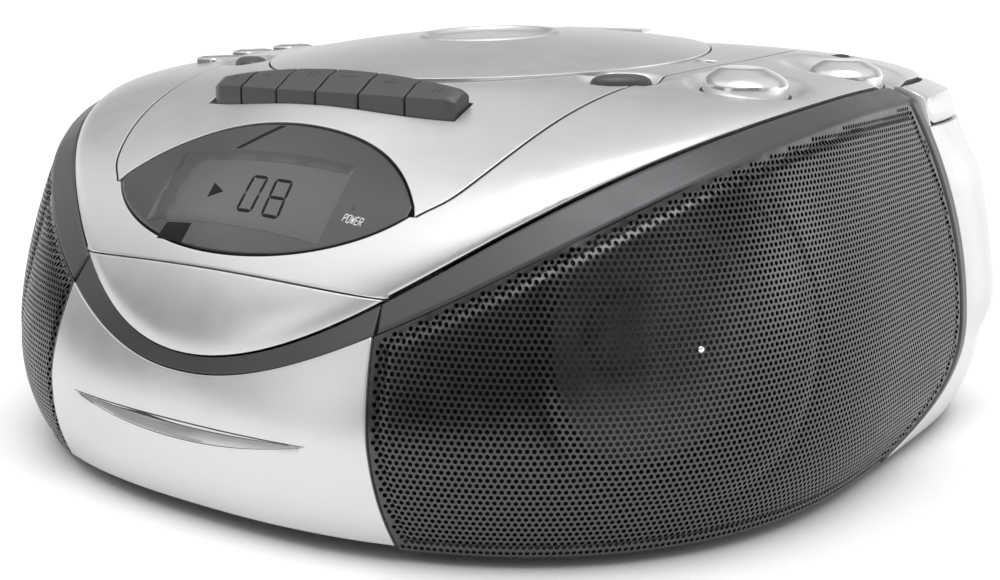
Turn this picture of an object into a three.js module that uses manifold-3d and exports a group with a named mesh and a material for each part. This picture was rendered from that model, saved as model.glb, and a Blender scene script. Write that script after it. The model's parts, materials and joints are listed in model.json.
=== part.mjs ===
// Portable CD and cassette radio: an oval body on four feet, a cassette door in front, a CD lid on top.
// Millimetres, +Z up, front towards -Y.
// The origin is the centre of the footprint, on the surface it stands on.
import * as THREE from 'three';
import { mergeVertices } from 'three/addons/utils/BufferGeometryUtils.js';
import Module from 'manifold-3d';

const wasm = await Module();
wasm.setup();

// ---------------------------------------------------------------- driving dimensions
const HALF_WIDTH = 150;
const FRONT_DEPTH = 141;
const REAR_DEPTH = 127.5;
const FRONT_POWER = 2.41;
const REAR_POWER = 6;
const BELT_Z = 29;
const FOOT_HEIGHT = 3.5;
const CENTRE_Y = (FRONT_DEPTH - REAR_DEPTH) / 2;
const WALL = 2.5;
const GAP = 0.3;
const SHELL_BOTTOM = 0.4;

// dark trim ring between the side wall and the top
const RING_REST_Z = 113;
const RING_DIP = 66.5;
const RING_DIP_ANGLE = rad(43.7);

// top surface
const TOP_Z = 120;
const TOP_SLOPE = 0.055;

// cassette door
const DOOR_BOTTOM_Z = 2;
const DOOR_HALF_BOTTOM = 64;
const DOOR_TAPER = 6.5;
const SEAM_Z = 68.5;
const SEAM_DROP = 3;

// speaker grille and its trim strip
const REAR_EDGE_Y = 62;
const STRIP_WIDTH = 5;
const SPEAKER_ANGLE = rad(55);
const SPEAKER_Z = 52;
const SPEAKER_R = 40;
const SPEAKER_RADIUS_FROM_CENTRE = 131;

// CD lid and well
const LID = { y: 7, radius: 74, wellRadius: 71.5, depth: 15 };
const LID_HINGE_Y = LID.y + LID.radius + 2.5;

// piano keys
const KEY_NAMES = ['record_key', 'play_key', 'rewind_key', 'forward_key', 'stop_key', 'pause_key'];
const KEY_PITCH = 15.9;
const KEY_FRONT_Y = -82;
const KEY_REAR_Y = -70.2;
const KEY_ARM_Z = 82;

// rear handle
const HANDLE_Z = [101.5, 111.6];
const HANDLE_PIVOT = { y: 55.5, z: 105.8, radius: 5.2 };
const HANDLE_FROM = rad(109);
const HANDLE_CLEAR = 1.05;
const LEDGE_Z = 99.6;

// cassette mechanism
const TAPE = { z: 39, reelX: 21.25, plateY: -103 };

// aerial along the back
const AERIAL = { x: 88, y: 122.9, z: 94, postRadius: 4, sleeveRadius: 3.2, length: 150 };

// battery compartment
const BATTERY = { halfX: 84, yFrom: 24, yTo: 104, height: 30 };

// mains inlet at the back
const INLET = { x: 100, y: REAR_DEPTH - 12.5, z: 30, size: [26, 15, 20], socket: [19, 20, 13] };

// ---------------------------------------------------------------- finishes
const finish = (color, roughness, metalness) =>
  new THREE.MeshStandardMaterial({ color, roughness, metalness });
const SILVER = finish(0xc9cacc, 0.34, 0.55);
const GRAPHITE = finish(0x4a4b4d, 0.42, 0.3);
const BLACK = finish(0x161617, 0.55, 0);
const MESH_BLACK = finish(0x0d0d0e, 0.45, 0.6);
const LENS = finish(0x3a3b3e, 0.12, 0);
const GLASS = finish(0x6d6a6c, 0.2, 0);
const STEEL = finish(0xa8aaad, 0.3, 1);
const BOARD = finish(0x2f5a38, 0.6, 0);
const RUBBER = finish(0x1b1b1b, 0.9, 0);
const BRASS = finish(0xb08d4a, 0.35, 1);
const PAPER = finish(0x202022, 0.85, 0);

// ---------------------------------------------------------------- small helpers
function rad(degrees) {
  return degrees * Math.PI / 180;
}

function lerp(a, b, t) {
  return a + (b - a) * t;
}

function bisect(fn, low, high, steps = 40) {
  let a = low;
  let b = high;
  const rising = fn(b) > fn(a);
  for (let i = 0; i < steps; i += 1) {
    const mid = (a + b) / 2;
    if ((fn(mid) > 0) === rising) {
      b = mid;
    } else {
      a = mid;
    }
  }
  return (a + b) / 2;
}

function signedVolume(positions, index) {
  const a = new THREE.Vector3();
  const b = new THREE.Vector3();
  const c = new THREE.Vector3();
  let total = 0;
  for (let i = 0; i < index.length; i += 3) {
    a.fromArray(positions, index[i] * 3);
    b.fromArray(positions, index[i + 1] * 3);
    c.fromArray(positions, index[i + 2] * 3);
    total += a.dot(b.cross(c)) / 6;
  }
  return total;
}

function indexed(geometry) {
  const bare = geometry.clone();
  bare.deleteAttribute('normal');
  bare.deleteAttribute('uv');
  const merged = mergeVertices(bare, 1e-4);
  const positions = merged.attributes.position.array;
  const index = Array.from(merged.index.array);
  const kept = [];
  for (let i = 0; i < index.length; i += 3) {
    const [p, q, r] = [index[i], index[i + 1], index[i + 2]];
    if (p !== q && q !== r && p !== r) {
      kept.push(p, q, r);
    }
  }
  if (signedVolume(positions, kept) < 0) {
    kept.reverse();
  }
  return { positions, index: kept };
}

function solid(geometry) {
  const { positions, index } = indexed(geometry);
  const mesh = new wasm.Mesh({
    numProp: 3,
    vertProperties: new Float32Array(positions),
    triVerts: new Uint32Array(index),
  });
  mesh.merge();
  return new wasm.Manifold(mesh);
}

function geometryOf(body) {
  const mesh = body.getMesh();
  const geometry = new THREE.BufferGeometry();
  geometry.setAttribute('position', new THREE.BufferAttribute(new Float32Array(mesh.vertProperties), 3));
  geometry.setIndex(new THREE.BufferAttribute(new Uint32Array(mesh.triVerts), 1));
  return geometry;
}

function surface(points, triangles) {
  const geometry = new THREE.BufferGeometry();
  geometry.setAttribute('position', new THREE.Float32BufferAttribute(points.flat(), 3));
  geometry.setIndex(triangles);
  return geometry;
}

function block(size, centre) {
  return solid(new THREE.BoxGeometry(...size).translate(...centre));
}

function turned(profile, segments = 32) {
  const points = profile.map(([r, z]) => new THREE.Vector2(r, z));
  return new THREE.LatheGeometry(points, segments).rotateX(Math.PI / 2);
}

function alongAxis(geometry, axis) {
  if (axis === 'x') {
    geometry.rotateY(Math.PI / 2);
  }
  if (axis === 'y') {
    geometry.rotateX(-Math.PI / 2);
  }
  return geometry;
}

function rod(radius, length, axis, centre, segments = 24) {
  const profile = [[0, -length / 2], [radius, -length / 2], [radius, length / 2], [0, length / 2]];
  return solid(alongAxis(turned(profile, segments), axis).translate(...centre));
}

function ring(outer, inner, length, axis, centre, segments = 32) {
  const h = length / 2;
  const profile = [[inner, -h], [outer, -h], [outer, h], [inner, h], [inner, -h]];
  return solid(alongAxis(turned(profile, segments), axis).translate(...centre));
}

// A straight prism: the outline lies in the two axes other than `axis`, in x, y, z order.
function prism(outline, axis, from, to) {
  const shape = outline instanceof THREE.Shape
    ? outline
    : new THREE.Shape(outline.map(([a, b]) => new THREE.Vector2(a, b)));
  const settings = { depth: to - from, bevelEnabled: false, curveSegments: 12 };
  const geometry = new THREE.ExtrudeGeometry(shape, settings);
  if (axis === 'z') {
    geometry.translate(0, 0, from);
  }
  if (axis === 'y') {
    geometry.rotateX(Math.PI / 2).translate(0, to, 0);
  }
  if (axis === 'x') {
    const basis = new THREE.Matrix4().makeBasis(
      new THREE.Vector3(0, 1, 0),
      new THREE.Vector3(0, 0, 1),
      new THREE.Vector3(1, 0, 0),
    );
    geometry.applyMatrix4(basis).translate(from, 0, 0);
  }
  return solid(geometry);
}

// A wall with an outer and an inner face over a grid; point(u, v, depth) gives a point of it.
function wallPatch(point, columns, rows, depth = WALL) {
  const points = [];
  const triangles = [];
  const at = (layer, i, j) => (layer * (columns + 1) + i) * (rows + 1) + j;
  for (const d of [0, depth]) {
    for (let i = 0; i <= columns; i += 1) {
      for (let j = 0; j <= rows; j += 1) {
        points.push(point(i / columns, j / rows, d));
      }
    }
  }
  const quad = (a, b, c, d) => triangles.push(a, b, c, a, c, d);
  for (let i = 0; i < columns; i += 1) {
    for (let j = 0; j < rows; j += 1) {
      quad(at(0, i, j), at(0, i + 1, j), at(0, i + 1, j + 1), at(0, i, j + 1));
      quad(at(1, i, j), at(1, i, j + 1), at(1, i + 1, j + 1), at(1, i + 1, j));
    }
  }
  for (let i = 0; i < columns; i += 1) {
    quad(at(0, i, 0), at(1, i, 0), at(1, i + 1, 0), at(0, i + 1, 0));
    quad(at(0, i, rows), at(0, i + 1, rows), at(1, i + 1, rows), at(1, i, rows));
  }
  for (let j = 0; j < rows; j += 1) {
    quad(at(0, 0, j), at(0, 0, j + 1), at(1, 0, j + 1), at(1, 0, j));
    quad(at(0, columns, j), at(1, columns, j), at(1, columns, j + 1), at(0, columns, j + 1));
  }
  return surface(points, triangles);
}

// A closed section carried around the body from one heading to another; section(phi) lists [radius, z] pairs.
function carried(section, from, to, steps) {
  const points = [];
  const triangles = [];
  const count = section(from).length;
  for (let i = 0; i <= steps; i += 1) {
    const phi = lerp(from, to, i / steps);
    for (const [r, z] of section(phi)) {
      points.push([r * Math.sin(phi), -r * Math.cos(phi), z]);
    }
  }
  for (let i = 0; i < steps; i += 1) {
    for (let k = 0; k < count; k += 1) {
      const a = i * count + k;
      const b = i * count + (k + 1) % count;
      triangles.push(a, b, b + count, a, b + count, a + count);
    }
  }
  const ends = THREE.ShapeUtils.triangulateShape(section(from).map(([r, z]) => new THREE.Vector2(r, z)), []);
  const last = steps * count;
  for (const [a, b, c] of ends) {
    triangles.push(a, c, b, last + a, last + b, last + c);
  }
  return surface(points, triangles);
}

// ---------------------------------------------------------------- the body's surface
// A heading phi is measured from the front (-Y) towards +X.
function outline(phi) {
  const s = Math.abs(Math.sin(phi));
  const c = Math.cos(phi);
  const depth = c > 0 ? FRONT_DEPTH : REAR_DEPTH;
  const power = c > 0 ? FRONT_POWER : REAR_POWER;
  return ((s / HALF_WIDTH) ** power + (Math.abs(c) / depth) ** power) ** (-1 / power);
}

function folded(phi) {
  const turn = Math.abs(phi) % (2 * Math.PI);
  return Math.min(turn, 2 * Math.PI - turn);
}

function bell(value, centre, width) {
  return Math.exp(-(((value - centre) / width) ** 2));
}

function ringUpperZ(phi) {
  return RING_REST_Z - RING_DIP * bell(folded(phi), 0, RING_DIP_ANGLE);
}

function ringLowerZ(phi) {
  return ringUpperZ(phi) - 4.5 - 4 * bell(folded(phi), rad(40), rad(22));
}

function ringUpperScale(phi) {
  return 0.85 + 0.125 * bell(folded(phi), 0, rad(28));
}

function ringLowerScale(phi) {
  return 0.91 + 0.075 * bell(folded(phi), 0, rad(27));
}

function sideScale(phi, z) {
  const low = ringLowerZ(phi);
  if (z < BELT_Z) {
    return 1 - 0.051 * ((BELT_Z - z) / BELT_Z) ** 2.2;
  }
  if (z < low) {
    return 1 - (1 - ringLowerScale(phi)) * ((z - BELT_Z) / (low - BELT_Z)) ** 1.6;
  }
  const t = Math.min(1, (z - low) / (ringUpperZ(phi) - low));
  return lerp(ringLowerScale(phi), ringUpperScale(phi), t);
}

function rimRadius(phi) {
  return outline(phi) * ringUpperScale(phi);
}

function topRise(rho) {
  const slope = 1.58 * Math.max(1e-9, 1 - rho) ** 0.59;
  return (1 + slope ** -20) ** (-1 / 20);
}

function topZ(phi, rho) {
  const y = -rimRadius(phi) * rho * Math.cos(phi);
  const rim = ringUpperZ(phi);
  return rim + (TOP_Z + TOP_SLOPE * y - rim) * topRise(Math.min(rho, 1));
}

function topAt(x, y) {
  const phi = Math.atan2(x, -y);
  return topZ(phi, Math.hypot(x, y) / rimRadius(phi));
}

function surfaceRadius(phi, z) {
  if (z <= ringUpperZ(phi)) {
    return outline(phi) * sideScale(phi, z);
  }
  return rimRadius(phi) * bisect((rho) => z - topZ(phi, rho), 0, 1);
}

function sidePoint(phi, z, inset = 0) {
  const r = surfaceRadius(phi, z) - inset;
  return [r * Math.sin(phi), -r * Math.cos(phi), z];
}

function headingAtX(x, z) {
  const phi = bisect((angle) => surfaceRadius(angle, z) * Math.sin(angle) - Math.abs(x), 0, rad(50));
  return Math.sign(x) * phi;
}

function headingAtY(y, z) {
  return bisect((angle) => -surfaceRadius(angle, z) * Math.cos(angle) - y, rad(50), rad(150));
}

// ---------------------------------------------------------------- lines drawn on the body
function doorHalfWidth(z) {
  return DOOR_HALF_BOTTOM - DOOR_TAPER * (Math.max(z, 0) / 58) ** 1.3;
}

function seamZ(x) {
  return SEAM_Z - SEAM_DROP * (x / 58) ** 2;
}

function rearEdgeY(z) {
  if (z > 45) {
    return REAR_EDGE_Y - 23 * ((z - 45) / 61) ** 2;
  }
  return REAR_EDGE_Y - 42 * ((45 - z) / 42) ** 3;
}

// The display window seen from the front: two arcs that meet in points at the sides.
function lensShape(grow) {
  const tip = 56 + grow;
  const middle = 86;
  const shape = new THREE.Shape();
  shape.moveTo(-tip, middle);
  shape.bezierCurveTo(-tip + 24, middle + 24 + grow, tip - 24, middle + 24 + grow, tip, middle);
  shape.bezierCurveTo(tip - 26, middle - 17 - grow, -tip + 26, middle - 17 - grow, -tip, middle);
  return shape;
}

// The control deck seen from above, from the display window's tips to the rear of the CD lid.
function deckOutline(grow) {
  const side = [
    [54, -112], [64, -101], [72, -82], [77, -57], [82, -28], [85, 0], [87, 30], [86, 62], [78, 90],
  ];
  const right = side.map(([x, y]) => [x + grow, y]);
  const left = side.map(([x, y]) => [-x - grow, y]).reverse();
  return [...right, [60, 97 + grow], [-60, 97 + grow], ...left];
}

// ---------------------------------------------------------------- assembly helpers
const device = new THREE.Group();
const body = new THREE.Group();
body.position.set(0, CENTRE_Y, FOOT_HEIGHT);
device.add(body);

function add(name, shape, material, parent = body) {
  const geometry = shape instanceof THREE.BufferGeometry ? geometryOf(solid(shape)) : geometryOf(shape);
  const mesh = new THREE.Mesh(geometry, material);
  mesh.name = name;
  parent.add(mesh);
  return mesh;
}

function mirrored(shape) {
  return shape.mirror([1, 0, 0]);
}

function addPair(name, shape, material) {
  add(`right_${name}`, shape, material);
  add(`left_${name}`, mirrored(shape), material);
}

function union(list) {
  return list.reduce((sum, item) => sum.add(item));
}

function less(start, cuts) {
  return cuts.reduce((rest, cut) => rest.subtract(cut), start);
}

// ---------------------------------------------------------------- top: shell, deck, window
function topPatch(depth) {
  const rings = [1, 0.98, 0.93, 0.84, 0.75, 0.66, 0.58, 0.51, 0.44, 0.32];
  const headings = 52;
  const points = [];
  const triangles = [];
  for (const d of [0, depth]) {
    for (const rho of rings) {
      for (let i = 0; i < headings; i += 1) {
        const phi = (i / headings) * 2 * Math.PI;
        const r = rimRadius(phi) * rho - d * rho;
        const drop = d * Math.min(1, (1 - rho) / 0.04);
        points.push([r * Math.sin(phi), -r * Math.cos(phi), topZ(phi, rho) - drop]);
      }
    }
    points.push([0, 0, topZ(0, 0) - d]);
  }
  const layer = rings.length * headings + 1;
  const at = (side, k, i) => side * layer + k * headings + (i % headings);
  for (let i = 0; i < headings; i += 1) {
    for (let k = 0; k < rings.length - 1; k += 1) {
      triangles.push(at(0, k, i), at(0, k, i + 1), at(0, k + 1, i + 1));
      triangles.push(at(0, k, i), at(0, k + 1, i + 1), at(0, k + 1, i));
      triangles.push(at(1, k, i), at(1, k + 1, i + 1), at(1, k, i + 1));
      triangles.push(at(1, k, i), at(1, k + 1, i), at(1, k + 1, i + 1));
    }
    const k = rings.length - 1;
    triangles.push(at(0, k, i), at(0, k, i + 1), layer - 1);
    triangles.push(at(1, k, i), 2 * layer - 1, at(1, k, i + 1));
    triangles.push(at(0, 0, i), at(1, 0, i), at(1, 0, i + 1));
    triangles.push(at(0, 0, i), at(1, 0, i + 1), at(0, 0, i + 1));
  }
  return solid(surface(points, triangles));
}

// Everything in front of the top shell's lower front edge, seen from the front.
function doorMouth() {
  const half = 58;
  const edge = [];
  for (let i = 0; i <= 12; i += 1) {
    const x = lerp(half, -half, i / 12);
    edge.push([x, seamZ(x)]);
  }
  return prism([[-half - 1, 20], [half + 1, 20], ...edge], 'y', -170, -100);
}

const KNOBS = {
  volume: { x: 105, y: -14, radius: 12.5 },
  tuning: { x: 112, y: 44, radius: 12 },
};
const OVAL_BUTTON = { x: 74, y: -32, halfX: 9, halfY: 5.5, turn: rad(38) };
const CD_BUTTONS = [
  { name: 'cd_play_button', x: -100, y: -22 },
  { name: 'cd_skip_button', x: -106, y: 2 },
  { name: 'cd_search_button', x: -108, y: 26 },
];
const CD_BUTTON_SIZE = [10, 15];
const SWITCH = { x: 100, y: 74, length: 16, width: 5 };

function ovalShape(halfX, halfY, x, y, turn) {
  const shape = new THREE.Shape();
  shape.absellipse(0, 0, halfX, halfY, 0, 2 * Math.PI, false, 0);
  return shape.getPoints(10).slice(0, -1).map((p) => [
    x + p.x * Math.cos(turn) - p.y * Math.sin(turn),
    y + p.x * Math.sin(turn) + p.y * Math.cos(turn),
  ]);
}

function buttonRect(button, grow) {
  const [w, l] = CD_BUTTON_SIZE;
  const a = w / 2 + grow;
  const b = l / 2 + grow;
  return [[button.x - a, button.y - b], [button.x + a, button.y - b], [button.x + a, button.y + b],
    [button.x - a, button.y + b]];
}

const top = topPatch(WALL);
const tall = [60, 160];
const deckPrism = (grow) => prism(deckOutline(grow), 'z', ...tall);
const lensPrism = (grow) => prism(lensShape(grow), 'y', -170, -70);
const ovalHole = (side, grow) => prism(
  ovalShape(OVAL_BUTTON.halfX + grow, OVAL_BUTTON.halfY + grow, side * OVAL_BUTTON.x, OVAL_BUTTON.y,
    side * OVAL_BUTTON.turn),
  'z', ...tall,
);

const shellCuts = [
  doorMouth(),
  deckPrism(GAP / 2),
  lensPrism(GAP),
  rod(KNOBS.volume.radius + 0.8, 60, 'z', [KNOBS.volume.x, KNOBS.volume.y, 115]),
  rod(KNOBS.tuning.radius + 0.8, 60, 'z', [KNOBS.tuning.x, KNOBS.tuning.y, 115]),
  block([SWITCH.width + 1, SWITCH.length + 1, 60], [SWITCH.x, SWITCH.y, 118]),
  ...CD_BUTTONS.map((button) => prism(buttonRect(button, 0.5), 'z', ...tall)),
];
add('top_shell', less(top, shellCuts), SILVER);

const KEY_SLOT_HALF = KEY_PITCH * 3 + 0.6;
const deckCuts = [
  lensPrism(GAP),
  rod(LID.wellRadius + 0.5, 80, 'z', [0, LID.y, 115], 48),
  block(
    [2 * KEY_SLOT_HALF, KEY_REAR_Y - KEY_FRONT_Y + 2, 60],
    [0, (KEY_REAR_Y + KEY_FRONT_Y) / 2 - 0.4, 118],
  ),
  ovalHole(1, 0.5),
  ovalHole(-1, 0.5),
  block([44, 7, 60], [0, LID_HINGE_Y + 0.5, 118]),
];
add('control_deck', less(top.intersect(deckPrism(-GAP / 2)), deckCuts), SILVER);
add('lcd_window', top.intersect(lensPrism(0)), LENS);

// ---------------------------------------------------------------- side: trims, grilles, rear shell
function trimShape() {
  const front = (z) => headingAtX(doorHalfWidth(z) + GAP, z);
  const frontHeading = front(62);
  const rearHeading = headingAtY(rearEdgeY(106) + STRIP_WIDTH, 108);
  const band = wallPatch((u, v, d) => {
    const phi = lerp(frontHeading, rearHeading, u);
    const z = lerp(ringLowerZ(phi), ringUpperZ(phi) - GAP, v);
    return sidePoint(phi, z, d);
  }, 16, 2);
  const strip = wallPatch((u, v, d) => {
    const z = lerp(SHELL_BOTTOM, 110, v);
    const y = rearEdgeY(z) + STRIP_WIDTH * u;
    return sidePoint(headingAtY(y, z), z, d);
  }, 1, 12);
  return solid(band).add(solid(strip));
}
const trim = trimShape();
addPair('speaker_trim', trim, GRAPHITE);

function grilleShape(inset, depth) {
  return wallPatch((u, v, d) => {
    let phi = rad(60);
    let z = 50;
    for (let i = 0; i < 30; i += 1) {
      const from = headingAtX(doorHalfWidth(z) + GAP, z);
      const to = headingAtY(rearEdgeY(z) - 3 * GAP, z);
      phi = lerp(from, to, u);
      z = lerp(SHELL_BOTTOM, ringLowerZ(phi) - 2 * GAP, v);
    }
    return sidePoint(phi, z, inset + d);
  }, 14, 7, depth);
}
addPair('speaker_grille', solid(grilleShape(0.8, 1.5)), MESH_BLACK);

function rearSection(phi) {
  const levels = [SHELL_BOTTOM, 12, 29, 50, 75, LEDGE_Z - 0.01];
  const wall = levels.map((z) => [surfaceRadius(phi, z), z]);
  const inner = [...levels].reverse().map((z) => [surfaceRadius(phi, z) - WALL, Math.min(z, LEDGE_Z - 2.5)]);
  const shelf = rimRadius(phi) - 0.4;
  const lip = [[shelf, LEDGE_Z], [shelf, 108.5], [shelf - 2, 108.5], [shelf - 2, LEDGE_Z - 2.5]];
  return [...wall, ...lip, ...inner];
}

function rearShellShape() {
  const ring360 = solid(carried(rearSection, rad(92), rad(268), 30));
  const edge = [];
  for (let i = 0; i <= 14; i += 1) {
    const z = lerp(-1, 120, i / 14);
    edge.push([rearEdgeY(z) + STRIP_WIDTH + 3 * GAP, z]);
  }
  const ahead = prism([[-20, -1], ...edge, [-20, 120]], 'x', -170, 170);
  const aerialHole = rod(AERIAL.postRadius + 0.4, 40, 'y', [AERIAL.x, AERIAL.y, AERIAL.z], 16);
  const hatchNotch = block([2 * BATTERY.halfX + 1, 60, 6], [0, REAR_DEPTH, -0.1]);
  const [inletWidth, , inletHeight] = INLET.size;
  const inletHole = block([inletWidth + 2, 30, inletHeight + 2], [INLET.x, REAR_DEPTH, INLET.z]);
  return less(ring360, [ahead, aerialHole, hatchNotch, inletHole]);
}
add('rear_shell', rearShellShape(), SILVER);

// ---------------------------------------------------------------- base, battery cover and feet
function footprint(inset, z) {
  const points = [];
  const count = 72;
  for (let i = 0; i < count; i += 1) {
    const phi = (i / count) * 2 * Math.PI;
    const r = outline(phi) * sideScale(phi, z) - inset;
    points.push([r * Math.sin(phi), -r * Math.cos(phi)]);
  }
  return points;
}

const BASE_THICK = 3;
const COVER_MARGIN = 0.5;
const batteryMid = (BATTERY.yFrom + BATTERY.yTo) / 2;
const batteryLength = BATTERY.yTo - BATTERY.yFrom;
const base = prism(footprint(WALL + 1.2, SHELL_BOTTOM), 'z', 0, BASE_THICK);
const hatchLength = REAR_DEPTH - BATTERY.yFrom;
const hatch = block([2 * BATTERY.halfX, hatchLength, 20], [0, BATTERY.yFrom + hatchLength / 2, 0]);
const doorGroove = block([2 * DOOR_HALF_BOTTOM, 24, 20], [0, -FRONT_DEPTH + 20, 0]);

const coverLength = REAR_DEPTH - 7.5 - BATTERY.yFrom;
const coverSize = [2 * (BATTERY.halfX - COVER_MARGIN), coverLength, 2];
const cover = block(coverSize, [0, BATTERY.yFrom + COVER_MARGIN + coverLength / 2, 1.2]);
const thumbGrip = rod(9, 2, 'z', [0, BATTERY.yFrom + 16, 0.2], 24);
add('battery_cover', cover.subtract(thumbGrip), BLACK);

function batteryBox() {
  const wall = 2;
  const high = BATTERY.height;
  const z = BASE_THICK - 0.5 + high / 2;
  const outer = block([2 * BATTERY.halfX + 2 * wall, batteryLength + 2 * wall, high], [0, batteryMid, z]);
  const inner = block([2 * BATTERY.halfX, batteryLength, high], [0, batteryMid, z - wall]);
  return outer.subtract(inner);
}
add('base_pan', less(base, [hatch, doorGroove]).add(batteryBox()), BLACK);

const contactY = BATTERY.yFrom + 20;
const contactPlate = block([1, 22, 18], [BATTERY.halfX - 1, contactY, 16]);
const contactSpring = ring(6, 4.6, 7, 'x', [BATTERY.halfX - 4.9, contactY, 16], 20);
add('battery_contact', contactPlate.add(contactSpring), STEEL);

const FOOT_SPOTS = [
  ['front_left', -92, -82], ['front_right', 92, -82],
  ['rear_left', -108, 92], ['rear_right', 108, 92],
];
for (const [place, x, y] of FOOT_SPOTS) {
  const profile = [[0, -FOOT_HEIGHT], [8.4, -FOOT_HEIGHT], [9.6, -FOOT_HEIGHT + 1], [9.6, -GAP], [0, -GAP]];
  add(`foot_${place}`, turned(profile, 16).translate(x, y, 0), RUBBER);
}

// ---------------------------------------------------------------- cassette door
function doorPatch(lowZ, highZ, inset, rows, half = doorHalfWidth) {
  return solid(wallPatch((u, v, d) => {
    let z = 40;
    let x = 0;
    for (let i = 0; i < 12; i += 1) {
      x = lerp(-1, 1, u) * (half(z) - GAP);
      z = lerp(lowZ(x, z), highZ(x, z), v);
    }
    return sidePoint(headingAtX(x, z), z, inset + d);
  }, 16, rows));
}

const atSmile = (line) => (x, z) => line(headingAtX(x, z));
const FINGER_SLOT = { z: 27, halfLength: 44, drop: 5.5 };

// A shallow lens-shaped scoop under a straight lip, for a fingertip.
function fingerScoop() {
  const shape = new THREE.Shape();
  shape.moveTo(-FINGER_SLOT.halfLength, FINGER_SLOT.z);
  shape.lineTo(FINGER_SLOT.halfLength, FINGER_SLOT.z);
  shape.quadraticCurveTo(0, FINGER_SLOT.z - 2 * FINGER_SLOT.drop, -FINGER_SLOT.halfLength, FINGER_SLOT.z);
  return prism(shape, 'y', -160, -FRONT_DEPTH + 1.4);
}

const lowerPanel = doorPatch(() => DOOR_BOTTOM_Z, (x, z) => atSmile(ringLowerZ)(x, z) - GAP, 0, 7);
add('door_lower_panel', lowerPanel.subtract(fingerScoop()), SILVER);
add('door_band', doorPatch(atSmile(ringLowerZ), (x, z) => atSmile(ringUpperZ)(x, z) - GAP, 0.7, 2), GRAPHITE);
const crescentHalf = () => 56.4;
add('door_crescent', doorPatch(atSmile(ringUpperZ), (x) => seamZ(x) - GAP, 0, 4, crescentHalf), SILVER);

// The holder behind the door: a back frame with two side channels that carry the cassette.
function cassetteHolder() {
  const channel = block([3, 13, 50], [53.5, -115.5, 31]);
  const sill = block([110, 13, 2], [0, -115.5, 6]);
  const frame = block([110, 2, 16], [0, -122.5, 13]);
  const bosses = block([104, 5, 5], [0, -125, 9]);
  return union([channel, mirrored(channel), sill, frame, bosses]);
}
add('cassette_holder', cassetteHolder(), BLACK);

// ---------------------------------------------------------------- cassette mechanism
const CAPSTAN = { x: 34, z: 59 };
const MECH = { z: 38, halfX: 62, thick: 1.6 };
const plate = block([2 * MECH.halfX, MECH.thick, 62], [0, TAPE.plateY, MECH.z]);
const plateHoles = [
  rod(5.5, 10, 'y', [TAPE.reelX, TAPE.plateY, TAPE.z]),
  rod(5.5, 10, 'y', [-TAPE.reelX, TAPE.plateY, TAPE.z]),
  rod(1.7, 10, 'y', [CAPSTAN.x, TAPE.plateY, CAPSTAN.z], 16),
  block([58, 10, 13], [0, TAPE.plateY, 64]),
];
add('mechanism_plate', less(plate, plateHoles), STEEL);

function reelShape(x) {
  const hub = rod(4.8, 9.5, 'y', [x, TAPE.plateY - 4.6, TAPE.z], 20);
  const disc = rod(13, 2, 'y', [x, TAPE.plateY + 3.2, TAPE.z], 20);
  const neck = rod(4.2, 8, 'y', [x, TAPE.plateY, TAPE.z], 20);
  const splines = [0, 1, 2].map((i) => solid(new THREE.BoxGeometry(1.2, 6, 12.4)
    .rotateY(rad(60 * i)).translate(x, TAPE.plateY - 5.6, TAPE.z)));
  return union([hub, neck, disc, ...splines]);
}
add('supply_reel', reelShape(-TAPE.reelX), BLACK);
add('takeup_reel', reelShape(TAPE.reelX), BLACK);

const flywheel = union([
  rod(17, 5, 'y', [CAPSTAN.x, TAPE.plateY + 15, CAPSTAN.z], 32),
  rod(1.2, 22, 'y', [CAPSTAN.x, TAPE.plateY + 3, CAPSTAN.z], 12),
]);
add('capstan_flywheel', flywheel, BRASS);

const MOTOR = { x: -38, z: 52 };
add('drive_motor', rod(14, 22, 'y', [MOTOR.x, TAPE.plateY + 26, MOTOR.z], 28), STEEL);
add('motor_pulley', rod(3.5, 5, 'y', [MOTOR.x, TAPE.plateY + 11.8, MOTOR.z], 16), BRASS);

function headPlateShape() {
  const slide = block([54, 2, 8], [0, TAPE.plateY - 2, 63.5]);
  const head = block([13, 7, 7], [0, TAPE.plateY - 6, 63.5]);
  return slide.add(head);
}
add('head_plate', headPlateShape(), STEEL);

// ---------------------------------------------------------------- piano keys
// Each key has a thick finger piece in front and a thin arm that reaches down to the mechanism.
function keyShape(x) {
  const width = KEY_PITCH - 0.5;
  const front = KEY_FRONT_Y;
  const side = [
    [front, 99], [front - 0.3, 110.5], [front + 0.8, 113.6], [front + 3.2, 115.6], [KEY_REAR_Y, 117.6],
    [KEY_REAR_Y - 0.2, 115], [KEY_REAR_Y - 2, 104], [KEY_REAR_Y - 2, KEY_ARM_Z],
    [KEY_REAR_Y - 5, KEY_ARM_Z], [KEY_REAR_Y - 5.5, 99],
  ];
  const shaped = prism(side, 'x', x - width / 2, x + width / 2);
  const topSlot = block([5.6, 2.2, 1.2], [x, (front + KEY_REAR_Y) / 2 + 1.5, 117.2]);
  return shaped.subtract(topSlot);
}
KEY_NAMES.forEach((name, i) => {
  add(name, keyShape((i - (KEY_NAMES.length - 1) / 2) * KEY_PITCH), GRAPHITE);
});

// ---------------------------------------------------------------- CD well, lid and player
const deckPlane = new THREE.Group();
deckPlane.position.set(0, LID.y, TOP_Z + TOP_SLOPE * LID.y);
deckPlane.rotation.x = Math.atan(TOP_SLOPE);
body.add(deckPlane);

function wellShape() {
  const r = LID.wellRadius;
  const floor = -LID.depth;
  const dish = solid(turned([
    [0, floor], [r, floor], [r, 0], [r - 2, 0], [r - 2, floor + 2], [0, floor + 2],
  ], 40));
  const spindleHole = rod(17, 20, 'z', [0, 0, floor]);
  const pickupSlot = block([17, 34, 20], [0, -33, floor]);
  const hingeRelief = block([44, 10, 8], [0, r, 0]);
  return less(dish, [spindleHole, pickupSlot, hingeRelief]);
}
add('cd_well', wellShape(), BLACK, deckPlane);

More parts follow.
